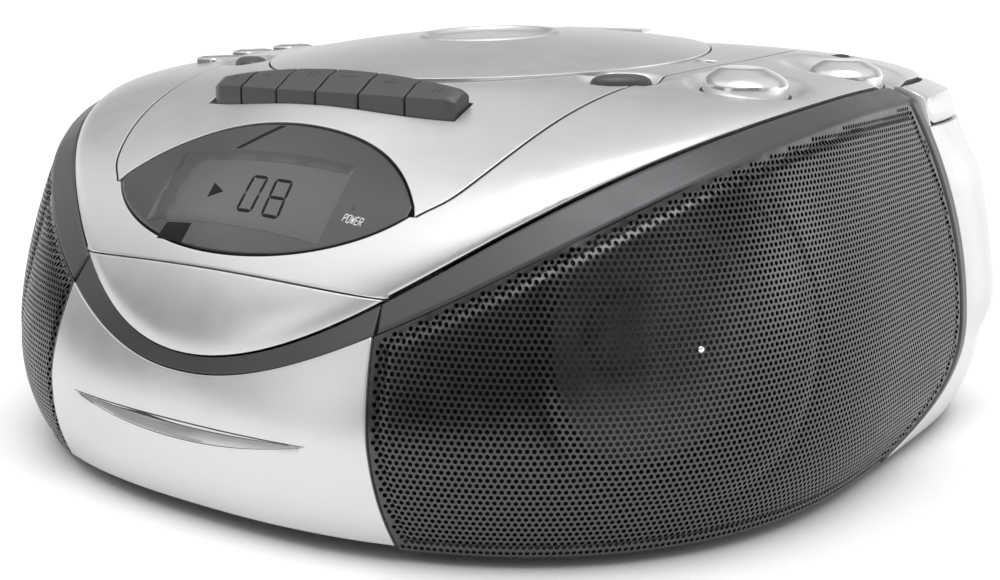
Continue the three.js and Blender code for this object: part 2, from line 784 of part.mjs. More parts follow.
function lidShape() {
  const r = LID.radius;
  const crown = 3;
  const profile = [[0, 1.2], [r - 1.5, 0.8], [r, 1.6], [r, 2.6], [r - 1.6, 3.6]];
  const steps = 4;
  for (let i = 1; i <= steps; i += 1) {
    const rho = (r - 1.6) * (1 - i / steps);
    profile.push([rho, 3.6 + crown * (1 - (rho / (r - 1.6)) ** 2)]);
  }
  const ears = block([38, 6.5, 3], [0, r + 0.5, 1.6]);
  return solid(turned(profile, 40)).add(ears);
}
add('cd_lid', lidShape(), SILVER, deckPlane);
add('disc_clamp', turned([[0, -3.4], [13, -3.4], [15, -1.8], [15, 0.4], [0, 0.4]], 32), BLACK, deckPlane);

function turntableShape() {
  const profile = [
    [0, -20], [1.6, -20], [1.6, -13.6], [16, -13.6], [16, -10.6], [7.4, -10.6], [7.2, -7.2], [0, -6.6],
  ];
  return turned(profile, 32);
}
add('turntable', turntableShape(), BLACK, deckPlane);
add('spindle_motor', rod(12, 9, 'z', [0, 0, -24.8], 24), STEEL, deckPlane);
const pickup = union([
  block([15.5, 16, 8], [0, -27, -16.5]),
  rod(3.6, 2.4, 'z', [0, -27, -11.6], 16),
]);
add('laser_pickup', pickup, BLACK, deckPlane);

const chassis = block([56, 84, 3], [0, -14, -30.9]);
const rails = [-11, 11].map((x) => rod(1.4, 44, 'y', [x, -33, -22.2], 10));
const posts = [-11, 11].flatMap((x) => [-54, -12].map((y) => block([5, 4, 9.5], [x, y, -26])));
add('cd_chassis', union([chassis, ...rails, ...posts]), STEEL, deckPlane);

// ---------------------------------------------------------------- knobs and buttons
function knobShape(knob, lowest, highest) {
  const r = knob.radius;
  const profile = [
    [0, lowest], [3, lowest], [3, highest - 10], [r, highest - 9], [r, highest - 2],
    [r - 1.4, highest - 0.4], [r - 4, highest], [0, highest - 0.8],
  ];
  return solid(turned(profile, 24)).translate([knob.x, knob.y, 0]);
}
const volumeTop = topAt(KNOBS.volume.x, KNOBS.volume.y) + 4.5;
const tuningTop = topAt(KNOBS.tuning.x, KNOBS.tuning.y) + 4.5;
add('volume_knob', knobShape(KNOBS.volume, 98, volumeTop), SILVER);
add('tuning_knob', knobShape(KNOBS.tuning, 98, tuningTop), SILVER);

for (const [name, side] of [['right_oval_button', 1], ['left_oval_button', -1]]) {
  const { halfX, halfY, x, y, turn } = OVAL_BUTTON;
  const z = topAt(x, y);
  add(name, prism(ovalShape(halfX, halfY, side * x, y, side * turn), 'z', z - 9, z + 1.6), GRAPHITE);
}
for (const button of CD_BUTTONS) {
  const z = topAt(button.x, button.y);
  add(button.name, prism(buttonRect(button, 0), 'z', z - 8, z + 1.4), GRAPHITE);
}
const switchTop = topAt(SWITCH.x, SWITCH.y);
add('band_switch', block([SWITCH.width, 6, 9], [SWITCH.x, SWITCH.y - 4.6, switchTop - 2.2]), BLACK);

// ---------------------------------------------------------------- carry handle
function handleSection(phi) {
  const outer = surfaceRadius(phi, HANDLE_Z[0]);
  const middle = surfaceRadius(phi, 107);
  const upper = surfaceRadius(phi, HANDLE_Z[1]);
  const inner = rimRadius(phi) + HANDLE_CLEAR;
  const outside = [[outer, HANDLE_Z[0]], [middle, 107], [upper, HANDLE_Z[1]]];
  return [...outside, [inner, HANDLE_Z[1]], [inner, HANDLE_Z[0]]];
}

// The bar's two ends are rounded about the pivot so that they turn in the shell's corners.
function handleShape() {
  const bar = solid(carried(handleSection, HANDLE_FROM, 2 * Math.PI - HANDLE_FROM, 28));
  const eye = rod(HANDLE_PIVOT.radius, 400, 'x', [0, HANDLE_PIVOT.y, HANDLE_PIVOT.z], 32);
  const aheadOfPivot = block([400, 40, 40], [0, HANDLE_PIVOT.y - 20, HANDLE_PIVOT.z]);
  return bar.subtract(aheadOfPivot.subtract(eye));
}
add('carry_handle', handleShape(), SILVER);

// ---------------------------------------------------------------- display
const displayBoard = solid(new THREE.BoxGeometry(84, 1.6, 22).rotateX(rad(-41)).translate(0, -96.5, 79));
add('display_board', displayBoard, BOARD);
const lcd = solid(new THREE.BoxGeometry(70, 3, 28).rotateX(rad(-41)).translate(0, -100.6, 81.4));
add('lcd_module', lcd, GLASS);

// ---------------------------------------------------------------- speakers
function speakerPlace(shape) {
  const x = SPEAKER_RADIUS_FROM_CENTRE * Math.sin(SPEAKER_ANGLE);
  const y = -SPEAKER_RADIUS_FROM_CENTRE * Math.cos(SPEAKER_ANGLE);
  return shape.rotate([0, 0, SPEAKER_ANGLE * 180 / Math.PI - 90]).translate([x, y, SPEAKER_Z]);
}

// The driver faces +X before it is placed; its rim is at x = 0.
const driverTurn = (profile, segments = 20) => solid(alongAxis(turned(profile, segments), 'x'));
const basket = driverTurn([
  [SPEAKER_R, 0], [SPEAKER_R, -2], [33, -4], [20, -20], [20, -36], [0, -36], [0, -24], [14, -22],
  [30, -2.2], [35, -1.6], [35, 0], [SPEAKER_R, 0],
]);
const cone = driverTurn([
  [34.4, -1], [34.4, 0.6], [31, 1], [29, -1], [12, -13], [0, -10], [0, -12.6], [11, -15.6], [28.6, -2.4],
  [34.4, -1],
]);
addPair('speaker_basket', speakerPlace(basket), BLACK);
addPair('speaker_cone', speakerPlace(cone), PAPER);

// ---------------------------------------------------------------- electronics
add('main_board', block([118, 76, 1.6], [0, -21, 46]), BOARD);
const POWER = { x: -116, y: 66 };
add('power_transformer', block([38, 44, 36], [POWER.x, POWER.y, 22.5]), STEEL);
const inlet = block(INLET.size, [INLET.x, INLET.y, INLET.z]);
const socket = block(INLET.socket, [INLET.x, INLET.y + INLET.size[1] / 2, INLET.z]);
add('mains_inlet', inlet.subtract(socket), BLACK);

// ---------------------------------------------------------------- aerial
const sleeveFrom = AERIAL.x - AERIAL.postRadius - GAP;
const sleeveTo = sleeveFrom - AERIAL.length;
const sleeveX = (sleeveFrom + sleeveTo) / 2;
add('aerial_post', rod(AERIAL.postRadius, 12, 'y', [AERIAL.x, AERIAL.y - 3, AERIAL.z], 16), STEEL);
const sleeve = rod(AERIAL.sleeveRadius, AERIAL.length, 'x', [sleeveX, AERIAL.y, AERIAL.z], 16);
const bore = rod(2.2, AERIAL.length, 'x', [sleeveX - 6, AERIAL.y, AERIAL.z], 12);
add('aerial_sleeve', sleeve.subtract(bore), STEEL);
const tip = union([
  rod(1.9, 142, 'x', [sleeveTo + 70, AERIAL.y, AERIAL.z], 12),
  rod(AERIAL.sleeveRadius, 7, 'x', [sleeveTo - 4, AERIAL.y, AERIAL.z], 16),
]);
add('aerial_rod', tip, STEEL);

export default device;
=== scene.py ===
"""Portable CD, cassette and radio player: the finished surfaces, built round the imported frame."""

import json
import math

import bpy
import numpy as np
from mathutils import Matrix, Vector
from mathutils.geometry import delaunay_2d_cdt


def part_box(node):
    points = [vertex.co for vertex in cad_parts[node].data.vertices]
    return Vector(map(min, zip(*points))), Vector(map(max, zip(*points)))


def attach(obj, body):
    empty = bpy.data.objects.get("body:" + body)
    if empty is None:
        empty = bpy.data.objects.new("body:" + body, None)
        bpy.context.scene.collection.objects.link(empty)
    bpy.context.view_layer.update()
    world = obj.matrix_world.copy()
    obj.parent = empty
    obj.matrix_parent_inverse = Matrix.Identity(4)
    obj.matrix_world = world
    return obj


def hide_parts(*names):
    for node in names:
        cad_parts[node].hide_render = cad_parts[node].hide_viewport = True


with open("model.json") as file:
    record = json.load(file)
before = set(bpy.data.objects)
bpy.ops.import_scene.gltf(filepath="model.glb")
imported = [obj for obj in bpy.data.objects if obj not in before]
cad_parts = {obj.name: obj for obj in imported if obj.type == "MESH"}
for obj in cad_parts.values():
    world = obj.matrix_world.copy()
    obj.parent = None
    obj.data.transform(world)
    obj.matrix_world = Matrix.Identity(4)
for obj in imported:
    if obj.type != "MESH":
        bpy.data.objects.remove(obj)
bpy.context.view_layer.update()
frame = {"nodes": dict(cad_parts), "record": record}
RECORD = frame["record"]
BODY_OF = {node: body for body, nodes in RECORD["behaviour"]["bodies"].items() for node in nodes}
SLOT_OF = {row["node"]: row["material_slot"] for row in RECORD["subparts"]}

# ---------------------------------------------------------------- driving dimensions, in millimetres
MM = 0.001
HALF_WIDTH, FRONT_DEPTH, REAR_DEPTH = 150.0, 141.0, 127.5
FRONT_POWER, REAR_POWER = 2.41, 6.0
BELT_Z = 29.0
FOOT_HEIGHT = 3.5
CENTRE_Y = (FRONT_DEPTH - REAR_DEPTH) / 2
SHELL_BOTTOM = 0.4
RING_REST_Z, RING_DIP, RING_DIP_ANGLE = 113.0, 66.5, math.radians(43.7)
TOP_Z, TOP_SLOPE = 120.0, 0.055
DOOR_BOTTOM_Z, DOOR_HALF_BOTTOM, DOOR_TAPER = 2.0, 64.0, 6.5
SEAM_Z, SEAM_DROP, SEAM_HALF = 68.5, 3.0, 58.0
REAR_EDGE_Y, STRIP_WIDTH = 62.0, 5.0
LEDGE_Z = 99.6
HANDLE_LOW, HANDLE_HIGH, HANDLE_CLEAR = 100.1, 111.6, 1.05
HANDLE_PIVOT = (55.5, 105.8, 5.2)
LID_Y, LID_RADIUS = 7.0, 74.0
SEAM_GAP = 0.7
SPEAKER_HEADING, SPEAKER_Z, SPEAKER_R = math.radians(57), 55.0, 41.0


# ---------------------------------------------------------------- the body's surface
def outline(phi):
    """Radius of the plan outline at a heading from the front (-Y) towards +X."""
    s, c = np.abs(np.sin(phi)), np.cos(phi)
    depth = np.where(c > 0, FRONT_DEPTH, REAR_DEPTH)
    power = np.where(c > 0, FRONT_POWER, REAR_POWER)
    return ((s / HALF_WIDTH) ** power + (np.abs(c) / depth) ** power) ** (-1 / power)


def folded(phi):
    turn = np.abs(phi) % (2 * math.pi)
    return np.minimum(turn, 2 * math.pi - turn)


def bell(value, centre, width):
    return np.exp(-(((value - centre) / width) ** 2))


def ring_upper_z(phi):
    return RING_REST_Z - RING_DIP * bell(folded(phi), 0, RING_DIP_ANGLE)


def ring_lower_z(phi):
    return ring_upper_z(phi) - 4.5 - 4 * bell(folded(phi), math.radians(40), math.radians(22))


def ring_upper_scale(phi):
    return 0.85 + 0.125 * bell(folded(phi), 0, math.radians(28))


def ring_lower_scale(phi):
    return 0.91 + 0.075 * bell(folded(phi), 0, math.radians(27))


def side_scale(phi, z):
    low, high = ring_lower_z(phi), ring_upper_z(phi)
    under = 1 - 0.051 * (np.clip(BELT_Z - z, 0, None) / BELT_Z) ** 2.2
    above = 1 - (1 - ring_lower_scale(phi)) * np.clip((z - BELT_Z) / (low - BELT_Z), 0, 1) ** 1.6
    t = np.clip((z - low) / (high - low), 0, 1)
    band = ring_lower_scale(phi) * (1 - t) + ring_upper_scale(phi) * t
    return np.where(z < BELT_Z, under, np.where(z < low, above, band))


def rim_radius(phi):
    return outline(phi) * ring_upper_scale(phi)


def top_rise(rho):
    slope = 1.58 * np.maximum(1e-9, 1 - rho) ** 0.59
    return (1 + slope ** -20) ** (-1 / 20)


def top_z(phi, rho):
    y = -rim_radius(phi) * rho * np.cos(phi)
    rim = ring_upper_z(phi)
    return rim + (TOP_Z + TOP_SLOPE * y - rim) * top_rise(np.minimum(rho, 1))


def bisect(rising, like, low, high, steps=30):
    a, b = np.full(np.shape(like), float(low)), np.full(np.shape(like), float(high))
    for _ in range(steps):
        mid = (a + b) / 2
        up = rising(mid) > 0
        a, b = np.where(up, a, mid), np.where(up, mid, b)
    return (a + b) / 2


def surface_radius(phi, z):
    phi, z = np.broadcast_arrays(np.asarray(phi, float), np.asarray(z, float))
    side = outline(phi) * side_scale(phi, z)
    rho = bisect(lambda t: z - top_z(phi, t), z, 0, 1)
    return np.where(z <= ring_upper_z(phi), side, rim_radius(phi) * rho)


def heading_at_x(x, z):
    x, z = np.broadcast_arrays(np.asarray(x, float), np.asarray(z, float))
    size = bisect(lambda a: surface_radius(a, z) * np.sin(a) - np.abs(x), x, 0, math.radians(50), 24)
    return np.sign(x) * size


def heading_at_y(y, z):
    y, z = np.broadcast_arrays(np.asarray(y, float), np.asarray(z, float))
    low, high = math.radians(50), math.radians(150)
    return bisect(lambda a: -surface_radius(a, z) * np.cos(a) - y, y, low, high, 24)


def door_half_width(z):
    return DOOR_HALF_BOTTOM - DOOR_TAPER * (np.maximum(z, 0) / 58) ** 1.3


def seam_z(x):
    return SEAM_Z - SEAM_DROP * (x / SEAM_HALF) ** 2


def rear_edge_y(z):
    high = REAR_EDGE_Y - 23 * (np.clip(z - 45, 0, None) / 61) ** 2
    low = REAR_EDGE_Y - 42 * (np.clip(45 - z, 0, None) / 42) ** 3
    return np.where(z > 45, high, low)


# Arc length round the belt, so that a flat pattern lies on the side wall without stretching.
_turn = np.linspace(-math.pi, 2 * math.pi, 3001)
_belt = np.stack([outline(_turn) * np.sin(_turn), -outline(_turn) * np.cos(_turn)], 1)
_arc = np.concatenate([[0], np.cumsum(np.linalg.norm(np.diff(_belt, axis=0), axis=1))])
_arc -= np.interp(0, _turn, _arc)


def arc_of(phi):
    return np.interp(phi, _turn, _arc)


def heading_of(arc):
    return np.interp(arc, _arc, _turn)


# ---------------------------------------------------------------- charts: flat places to places on the body
def polar(radius, phi, z):
    return np.stack([radius * np.sin(phi), -radius * np.cos(phi), z], -1)


def side_chart(points):
    phi = heading_of(points[:, 0])
    return polar(surface_radius(phi, points[:, 1]), phi, points[:, 1])


def smooth_step(t):
    t = np.clip(t, 0, 1)
    return t * t * (3 - 2 * t)


def dish(points, centre, inner, outer, depth):
    """A round hollow: full depth inside the inner radius, nothing beyond the outer one."""
    far = np.hypot(points[:, 0] - centre[0], points[:, 1] - centre[1])
    return depth * (1 - smooth_step((far - inner) / (outer - inner)))


def oval_dish(points, place, grow, soft, depth):
    (x, y), (half_x, half_y), turn = place
    c, s = math.cos(turn), math.sin(turn)
    dx, dy = points[:, 0] - x, points[:, 1] - y
    a, b = (dx * c + dy * s) / (half_x + grow), (-dx * s + dy * c) / (half_y + grow)
    return depth * (1 - smooth_step((np.hypot(a, b) - 1) / soft))


def middle(node):
    """Centre of a node in the body's own millimetres."""
    low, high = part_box(node)
    mid = (low + high) / 2 / MM
    return np.array([mid.x, mid.y - CENTRE_Y, mid.z - FOOT_HEIGHT])


VOLUME, TUNING = middle("volume_knob")[:2], middle("tuning_knob")[:2]
VOLUME_R = (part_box("volume_knob")[1].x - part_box("volume_knob")[0].x) / MM / 2
TUNING_R = (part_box("tuning_knob")[1].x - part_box("tuning_knob")[0].x) / MM / 2
OVAL_SIZE, OVAL_TURN = (9.0, 5.5), math.radians(38)
OVALS = {side: (middle(f"{side}_oval_button")[:2], OVAL_SIZE, sign * OVAL_TURN)
         for side, sign in (("right", 1), ("left", -1))}
KEYS = ["record_key", "play_key", "rewind_key", "forward_key", "stop_key", "pause_key"]
CD_BUTTONS = ["cd_play_button", "cd_skip_button", "cd_search_button"]
SWITCH = middle("band_switch")[:2] + np.array([0, 4.6])
SWITCH_SLOT = (6.0, 17.0)


def top_chart(points):
    x, y = points[:, 0], points[:, 1]
    phi = np.arctan2(x, -y)
    z = top_z(phi, np.minimum(np.hypot(x, y) / rim_radius(phi), 1))
    return np.stack([x, y, z], 1)


def dented_top(points):
    """The top with its round, oval and long hollows for the controls."""
    base = top_chart(points)
    drop = dish(points, VOLUME, VOLUME_R + 1.5, VOLUME_R + 6.5, 2.6)
    drop = drop + dish(points, TUNING, TUNING_R + 1, TUNING_R + 9.5, 3.2)
    for place in OVALS.values():
        drop = drop + oval_dish(points, place, 1.2, 0.4, 1.9)
    base[:, 2] -= drop
    return base


# ---------------------------------------------------------------- flat outlines
def densify(points, step=1.6):
    points = np.asarray(points, float)
    out = []
    for a, b in zip(points, np.roll(points, -1, axis=0)):
        n = max(1, int(math.ceil(np.linalg.norm(b - a) / step)))
        out += [a + (b - a) * k / n for k in range(n)]
    return np.array(out)


def curve_through(points, per=8):
    """A smooth open curve through a few points."""
    p = np.asarray(points, float)
    p = np.vstack([2 * p[0] - p[1], p, 2 * p[-1] - p[-2]])
    out = []
    for a, b, c, d in zip(p, p[1:], p[2:], p[3:]):
        for k in range(per):
            t = k / per
            out.append(0.5 * (2 * b + (c - a) * t + (2 * a - 5 * b + 4 * c - d) * t * t
                              + (3 * b - a - 3 * c + d) * t ** 3))
    return np.array(out + [p[-2]])


def bezier(a, b, c, d, n=26):
    t = np.linspace(0, 1, n)[:, None]
    a, b, c, d = (np.asarray(q, float) for q in (a, b, c, d))
    return a * (1 - t) ** 3 + 3 * b * t * (1 - t) ** 2 + 3 * c * t * t * (1 - t) + d * t ** 3


def oval(centre, size, turn=0.0, n=48, grow=0.0):
    t = np.linspace(0, 2 * math.pi, n, endpoint=False)
    a, b = (size[0] + grow) * np.cos(t), (size[1] + grow) * np.sin(t)
    c, s = math.cos(turn), math.sin(turn)
    return np.stack([centre[0] + a * c - b * s, centre[1] + a * s + b * c], 1)


def round_rect(centre, size, corner, n=5):
    w, h = size[0] / 2 - corner, size[1] / 2 - corner
    out = []
    for k, (sx, sy) in enumerate([(1, 1), (-1, 1), (-1, -1), (1, -1)]):
        x, y = centre[0] + sx * w, centre[1] + sy * h
        for t in np.linspace(k, k + 1, n) * math.pi / 2:
            out.append((x + corner * math.cos(t), y + corner * math.sin(t)))
    return np.array(out)


def area(loop):
    x, y = loop[:, 0], loop[:, 1]
    return 0.5 * np.sum(x * np.roll(y, -1) - np.roll(x, -1) * y)


def facing(loop, counter_clockwise=True):
    return loop if (area(loop) > 0) == counter_clockwise else loop[::-1]


def inset(loop, by):
    """The loop moved to its left by a distance, mitred at corners."""
    edge = np.roll(loop, -1, axis=0) - loop
    edge /= np.maximum(np.linalg.norm(edge, axis=1, keepdims=True), 1e-9)
    left = np.stack([-edge[:, 1], edge[:, 0]], 1)
    both = left + np.roll(left, 1, axis=0)
    both /= np.maximum(np.linalg.norm(both, axis=1, keepdims=True), 1e-9)
    reach = 1 / np.maximum(np.sum(both * left, axis=1, keepdims=True), 0.6)
    return loop + both * by * reach


def inside(points, loop):
    x, y = points[:, 0][:, None], points[:, 1][:, None]
    ax, ay = loop[:, 0], loop[:, 1]
    bx, by = np.roll(ax, -1), np.roll(ay, -1)
    crosses = (ay > y) != (by > y)
    at = (bx - ax) * (y - ay) / np.where(by == ay, 1e-12, by - ay) + ax
    return np.sum(crosses & (x < at), axis=1) % 2 == 1


def distance_to(points, others):
    best = np.full(len(points), 1e9)
    for start in range(0, len(points), 2000):
        part = points[start:start + 2000]
        gap = part[:, None, :] - others[None, :, :]
        best[start:start + 2000] = np.sqrt((gap ** 2).sum(2).min(1))
    return best


def grid(loop, pitch):
    low, high = loop.min(0), loop.max(0)
    rows = np.arange(low[1], high[1] + pitch, pitch * 0.866)
    out = []
    for k, y in enumerate(rows):
        x = np.arange(low[0] + (k % 2) * pitch / 2, high[0] + pitch, pitch)
        out.append(np.stack([x, np.full(len(x), y)], 1))
    return np.vstack(out)


# ---------------------------------------------------------------- sheets with rounded edges
def vertex_normals(points, faces):
    tri = np.asarray(faces)
    a, b, c = points[tri[:, 0]], points[tri[:, 1]], points[tri[:, 2]]
    face = np.cross(b - a, c - a)
    total = np.zeros_like(points)
    for k in range(3):
        np.add.at(total, tri[:, k], face)
    return total / np.maximum(np.linalg.norm(total, axis=1, keepdims=True), 1e-12)


def between(points, loops):
    """Which points lie inside the first loop and outside the others."""
    keep = inside(points, loops[0])
    for loop in loops[1:]:
        keep &= ~inside(points, loop)
    return keep


def triangulate(loops, seeds):
    """Triangles that fill the first loop round the others; loop points keep their order."""
    points, edges = [], []
    for loop in loops:
        n, start = len(loop), len(points)
        points += loop.tolist()
        edges += [(start + k, start + (k + 1) % n) for k in range(n)]
    points += seeds.tolist()
    places, _, found, _, _, _ = delaunay_2d_cdt([Vector(p) for p in points], edges, [], 0, 1e-5)
    places = np.array([tuple(p) for p in places])
    tri = np.array([f for f in found if len(f) == 3])
    return places, tri[between(places[tri].mean(1), loops)]


SUPPORT = 0.4  # distance of the extra row of points that keeps a rounded rim's highlight even
LIP_STEPS = 3


def sheet(chart, outer, holes=(), pitch=3.0, lip=0.28, depth=2.2, extra=None, lift=0.0):
    """A closed sheet on a chart, with quarter-round edges. Returns its points and faces."""
    loops = [facing(outer)] + [facing(h, False) for h in holes]
    flats = [inset(loop, lip) for loop in loops]
    fixed = np.vstack(flats)
    seeds = grid(flats[0], pitch)
    near = 0.6 * min(pitch, 2.0)
    if extra is not None:
        seeds = np.vstack([extra, seeds[distance_to(seeds, extra) > 0.8 * pitch]])
        near = 0.3 * min(pitch, 2.0)
    seeds = seeds[between(seeds, flats)]
    if lip > 0.15:
        beside = np.vstack([inset(loop, lip + SUPPORT) for loop in loops])
        beside = beside[between(beside, flats) & (distance_to(beside, fixed) > SUPPORT * 0.7)]
        fixed = np.vstack([fixed, beside])
        seeds = np.vstack([beside, seeds[distance_to(seeds, fixed) > near]])
    else:
        seeds = seeds[distance_to(seeds, fixed) > near]
    places, faces = triangulate(flats, seeds)
    spots = chart(places)
    normals = vertex_normals(spots, faces)
    spots = spots + normals * lift
    points, made = [spots, spots - normals * depth], faces.tolist()
    count = len(spots)
    made += (faces[:, ::-1] + count).tolist()
    base, start = 2 * count, 0
    for loop in loops:
        n = len(loop)
        up = normals[start:start + n]
        rows = [np.arange(start, start + n)]
        for k in range(1, LIP_STEPS + 1):
            a = k / LIP_STEPS * math.pi / 2
            place = chart(inset(loop, lip * (1 - math.sin(a)))) + up * lift
            points.append(place - up * lip * (1 - math.cos(a)))
            rows.append(np.arange(base, base + n))
            base += n
        points.append(chart(loop) + up * (lift - depth))
        rows.append(np.arange(base, base + n))
        base += n
        rows.append(np.arange(start + count, start + n + count))
        for a, b in zip(rows, rows[1:]):
            a2, b2 = np.roll(a, -1), np.roll(b, -1)
            made += np.stack([a, b, b2, a2], 1).tolist()
        start += n
    return np.vstack(points), made


def band(low, high, n):
    """Quads between two rings of n points, given where each ring starts."""
    return [(low + i, low + (i + 1) % n, high + (i + 1) % n, high + i) for i in range(n)]


def lathe(profile, segments=96):
    """A closed turned solid about +Z. The profile starts and ends on the axis, upwards on the outside."""
    profile = np.asarray(profile, float)
    body = profile[1:-1]
    t = np.linspace(0, 2 * math.pi, segments, endpoint=False)
    rings = [np.stack([r * np.cos(t), r * np.sin(t), np.full(segments, z)], 1) for r, z in body]
    points = np.vstack([*rings, [[0, 0, profile[0][1]], [0, 0, profile[-1][1]]]])
    faces = []
    for k in range(len(body) - 1):
        faces += band(k * segments, (k + 1) * segments, segments)
    last = (len(body) - 1) * segments
    low, high = len(points) - 2, len(points) - 1
    for i in range(segments):
        j = (i + 1) % segments
        faces.append((low, j, i))
        faces.append((high, last + i, last + j))
    return points, faces


def rounded(profile, radius=0.6, steps=4):
    """The corners of a profile's inner points turned into arcs."""
    p = np.asarray(profile, float)
    out = [p[0]]
    for a, b, c in zip(p, p[1:], p[2:]):
        u, v = a - b, c - b
        reach = min(radius, np.linalg.norm(u) / 2.1, np.linalg.norm(v) / 2.1)
        start, end = b + u / np.linalg.norm(u) * reach, b + v / np.linalg.norm(v) * reach
        for t in np.linspace(0, 1, steps):
            out.append(start * (1 - t) ** 2 + 2 * b * t * (1 - t) + end * t * t)
    return np.array(out + [p[-1]])


def loft(sections):
    """A closed solid through sections of equal length, capped at both ends."""
    n = len(sections[0])
    points = np.vstack(sections)
    faces = []
    for k in range(len(sections) - 1):
        faces += band(k * n, (k + 1) * n, n)
    faces.append(tuple(range(n - 1, -1, -1)))
    faces.append(tuple(range(len(points) - n, len(points))))
    return points, faces


def joined(*parts):
    """Several parts as one, without merging their points."""
    points, faces, start = [], [], 0
    for p, f in parts:
        points.append(np.asarray(p, float))
        faces += [tuple(int(i) + start for i in face) for face in f]
        start += len(p)
    return np.vstack(points), faces


def turned_inside_out(part):
    return part[0], [tuple(f)[::-1] for f in part[1]]


def flipped(part):
    """The part's mirror image on the other side of the body."""
    return turned_inside_out((part[0] * np.array([-1, 1, 1]), part[1]))


def moved(part, offset):
    return part[0] + np.asarray(offset, float), part[1]


# ---------------------------------------------------------------- materials
def shader_node(tree, kind, **values):
    """A new node with some inputs set; their names have underscores for spaces."""
    node = tree.nodes.new("ShaderNode" + kind)
    for name, value in values.items():
        node.inputs[name.replace("_", " ")].default_value = value
    return node


def noise(tree, scale, detail, stretch=(1, 1, 1)):
    place = shader_node(tree, "TexCoord")
    mapping = shader_node(tree, "Mapping", Scale=stretch)
    texture = shader_node(tree, "TexNoise", Scale=scale, Detail=detail)
    tree.links.new(place.outputs["Object"], mapping.inputs["Vector"])
    tree.links.new(mapping.outputs["Vector"], texture.inputs["Vector"])
    return texture.outputs["Fac"]


def remap(tree, value, span, low, high):
    """The value, taken from a span to the range between low and high."""
    node = shader_node(tree, "MapRange", From_Min=span[0], From_Max=span[1], To_Min=low, To_Max=high)
    tree.links.new(value, node.inputs["Value"])
    return node.outputs["Result"]


def ramp(tree, value, stops):
    """The value turned into a colour by a ramp of (place, colour) stops."""
    node = shader_node(tree, "ValToRGB")
    elements = node.color_ramp.elements
    for element, (spot, color) in zip(elements, (stops[0], stops[-1])):
        element.position = spot
        element.color = (*color, 1)
    for spot, color in stops[1:-1]:
        elements.new(spot).color = (*color, 1)
    tree.links.new(value, node.inputs["Fac"])
    return node.outputs["Color"]


NOISE_SPAN = (0.3, 0.7)  # where nearly all values of a noise lie
GRAIN_HEIGHT = 0.00005


def grained(name, color, rough, vary=0.06, spread=0.05, grain=2500.0, strength=0.1, cloud=14.0,
            stretch=(1, 1, 1), metallic=0.0, coat=0.0, coat_rough=0.1, specular=0.5):
    """A finish with slow colour clouds, uneven gloss and a fine grain."""
    mat = bpy.data.materials.new(name)
    mat.use_nodes = True
    tree = mat.node_tree
    inputs = tree.nodes["Principled BSDF"].inputs
    inputs["Metallic"].default_value = metallic
    inputs["Coat Weight"].default_value = coat
    inputs["Coat Roughness"].default_value = coat_rough
    inputs["Specular IOR Level"].default_value = specular
    dark = tuple(c * (1 - vary) for c in color)
    light = tuple(min(1.0, c * (1 + vary)) for c in color)
    clouds = ramp(tree, noise(tree, cloud, 4.0), list(zip(NOISE_SPAN, (dark, light))))
    tree.links.new(clouds, inputs["Base Color"])
    gloss = noise(tree, cloud * 9, 3.0, stretch)
    tree.links.new(remap(tree, gloss, NOISE_SPAN, rough - spread, rough + spread), inputs["Roughness"])
    bump = shader_node(tree, "Bump", Strength=strength, Distance=GRAIN_HEIGHT)
    tree.links.new(noise(tree, grain, 2.0, stretch), bump.inputs["Height"])
    tree.links.new(bump.outputs["Normal"], inputs["Normal"])
    return mat


SILVER = grained("silver_paint", (0.655, 0.657, 0.663), 0.33, vary=0.025, spread=0.03, grain=5200,
                 strength=0.06, metallic=0.78, coat=0.12, coat_rough=0.25)
KNOB_SILVER = grained("knob_silver", (0.66, 0.662, 0.668), 0.22, vary=0.02, spread=0.03, grain=5200,
                      strength=0.05, metallic=0.85, coat=0.2, coat_rough=0.15)
GRAPHITE = grained("graphite_plastic", (0.06, 0.062, 0.066), 0.36, vary=0.06, spread=0.04, grain=3600,
                   strength=0.12, metallic=0.35)
KEY_GREY = grained("key_plastic", (0.055, 0.057, 0.061), 0.42, vary=0.05, spread=0.05, grain=3000,
                   strength=0.14)
BLACK = grained("black_plastic", (0.018, 0.018, 0.019), 0.5, vary=0.15, spread=0.08, grain=1800,
                strength=0.25)
MESH = grained("grille_steel", (0.0045, 0.0045, 0.005), 0.28, vary=0.1, spread=0.05, grain=1500,
               strength=0.1, specular=1.0)
# Black felt for the baffle; also the painted shade in the seams round the window and round the deck.
FELT_AND_SEAM_SHADE = grained("baffle_black_and_seam_shade", (0.008, 0.008, 0.008), 0.9, vary=0.2, spread=0.05, grain=900, strength=0.3)
LENS = grained("lens_tint", (0.024, 0.0255, 0.027), 0.12, vary=0.03, spread=0.015, grain=300, strength=0.01,
               coat=0.6, coat_rough=0.04)
RUBBER = grained("foot_rubber", (0.022, 0.022, 0.022), 0.8, vary=0.15, spread=0.08, grain=1200, strength=0.3)
PLATED = grained("plated_steel", (0.52, 0.53, 0.54), 0.32, vary=0.07, spread=0.08, grain=900, strength=0.12,
                 metallic=1.0, stretch=(1, 12, 1))
CHROME = grained("bright_chrome", (0.82, 0.82, 0.83), 0.1, vary=0.02, spread=0.03, grain=700, strength=0.02,
                 metallic=1.0)
BRASS = grained("turned_brass", (0.66, 0.47, 0.2), 0.28, vary=0.06, spread=0.06, grain=900, strength=0.1,
                metallic=1.0, stretch=(1, 9, 1))
BOARD = grained("solder_resist", (0.02, 0.12, 0.045), 0.45, vary=0.2, spread=0.08, grain=400, strength=0.2,
                coat=0.3)
CONE = grained("cone_paper", (0.12, 0.12, 0.125), 0.45, vary=0.12, spread=0.08, grain=700, strength=0.3)
GLASS = grained("display_glass", (0.055, 0.0515, 0.052), 0.2, vary=0.1, spread=0.02, grain=300,
                strength=0.01, cloud=30.0, coat=0.6, coat_rough=0.04)
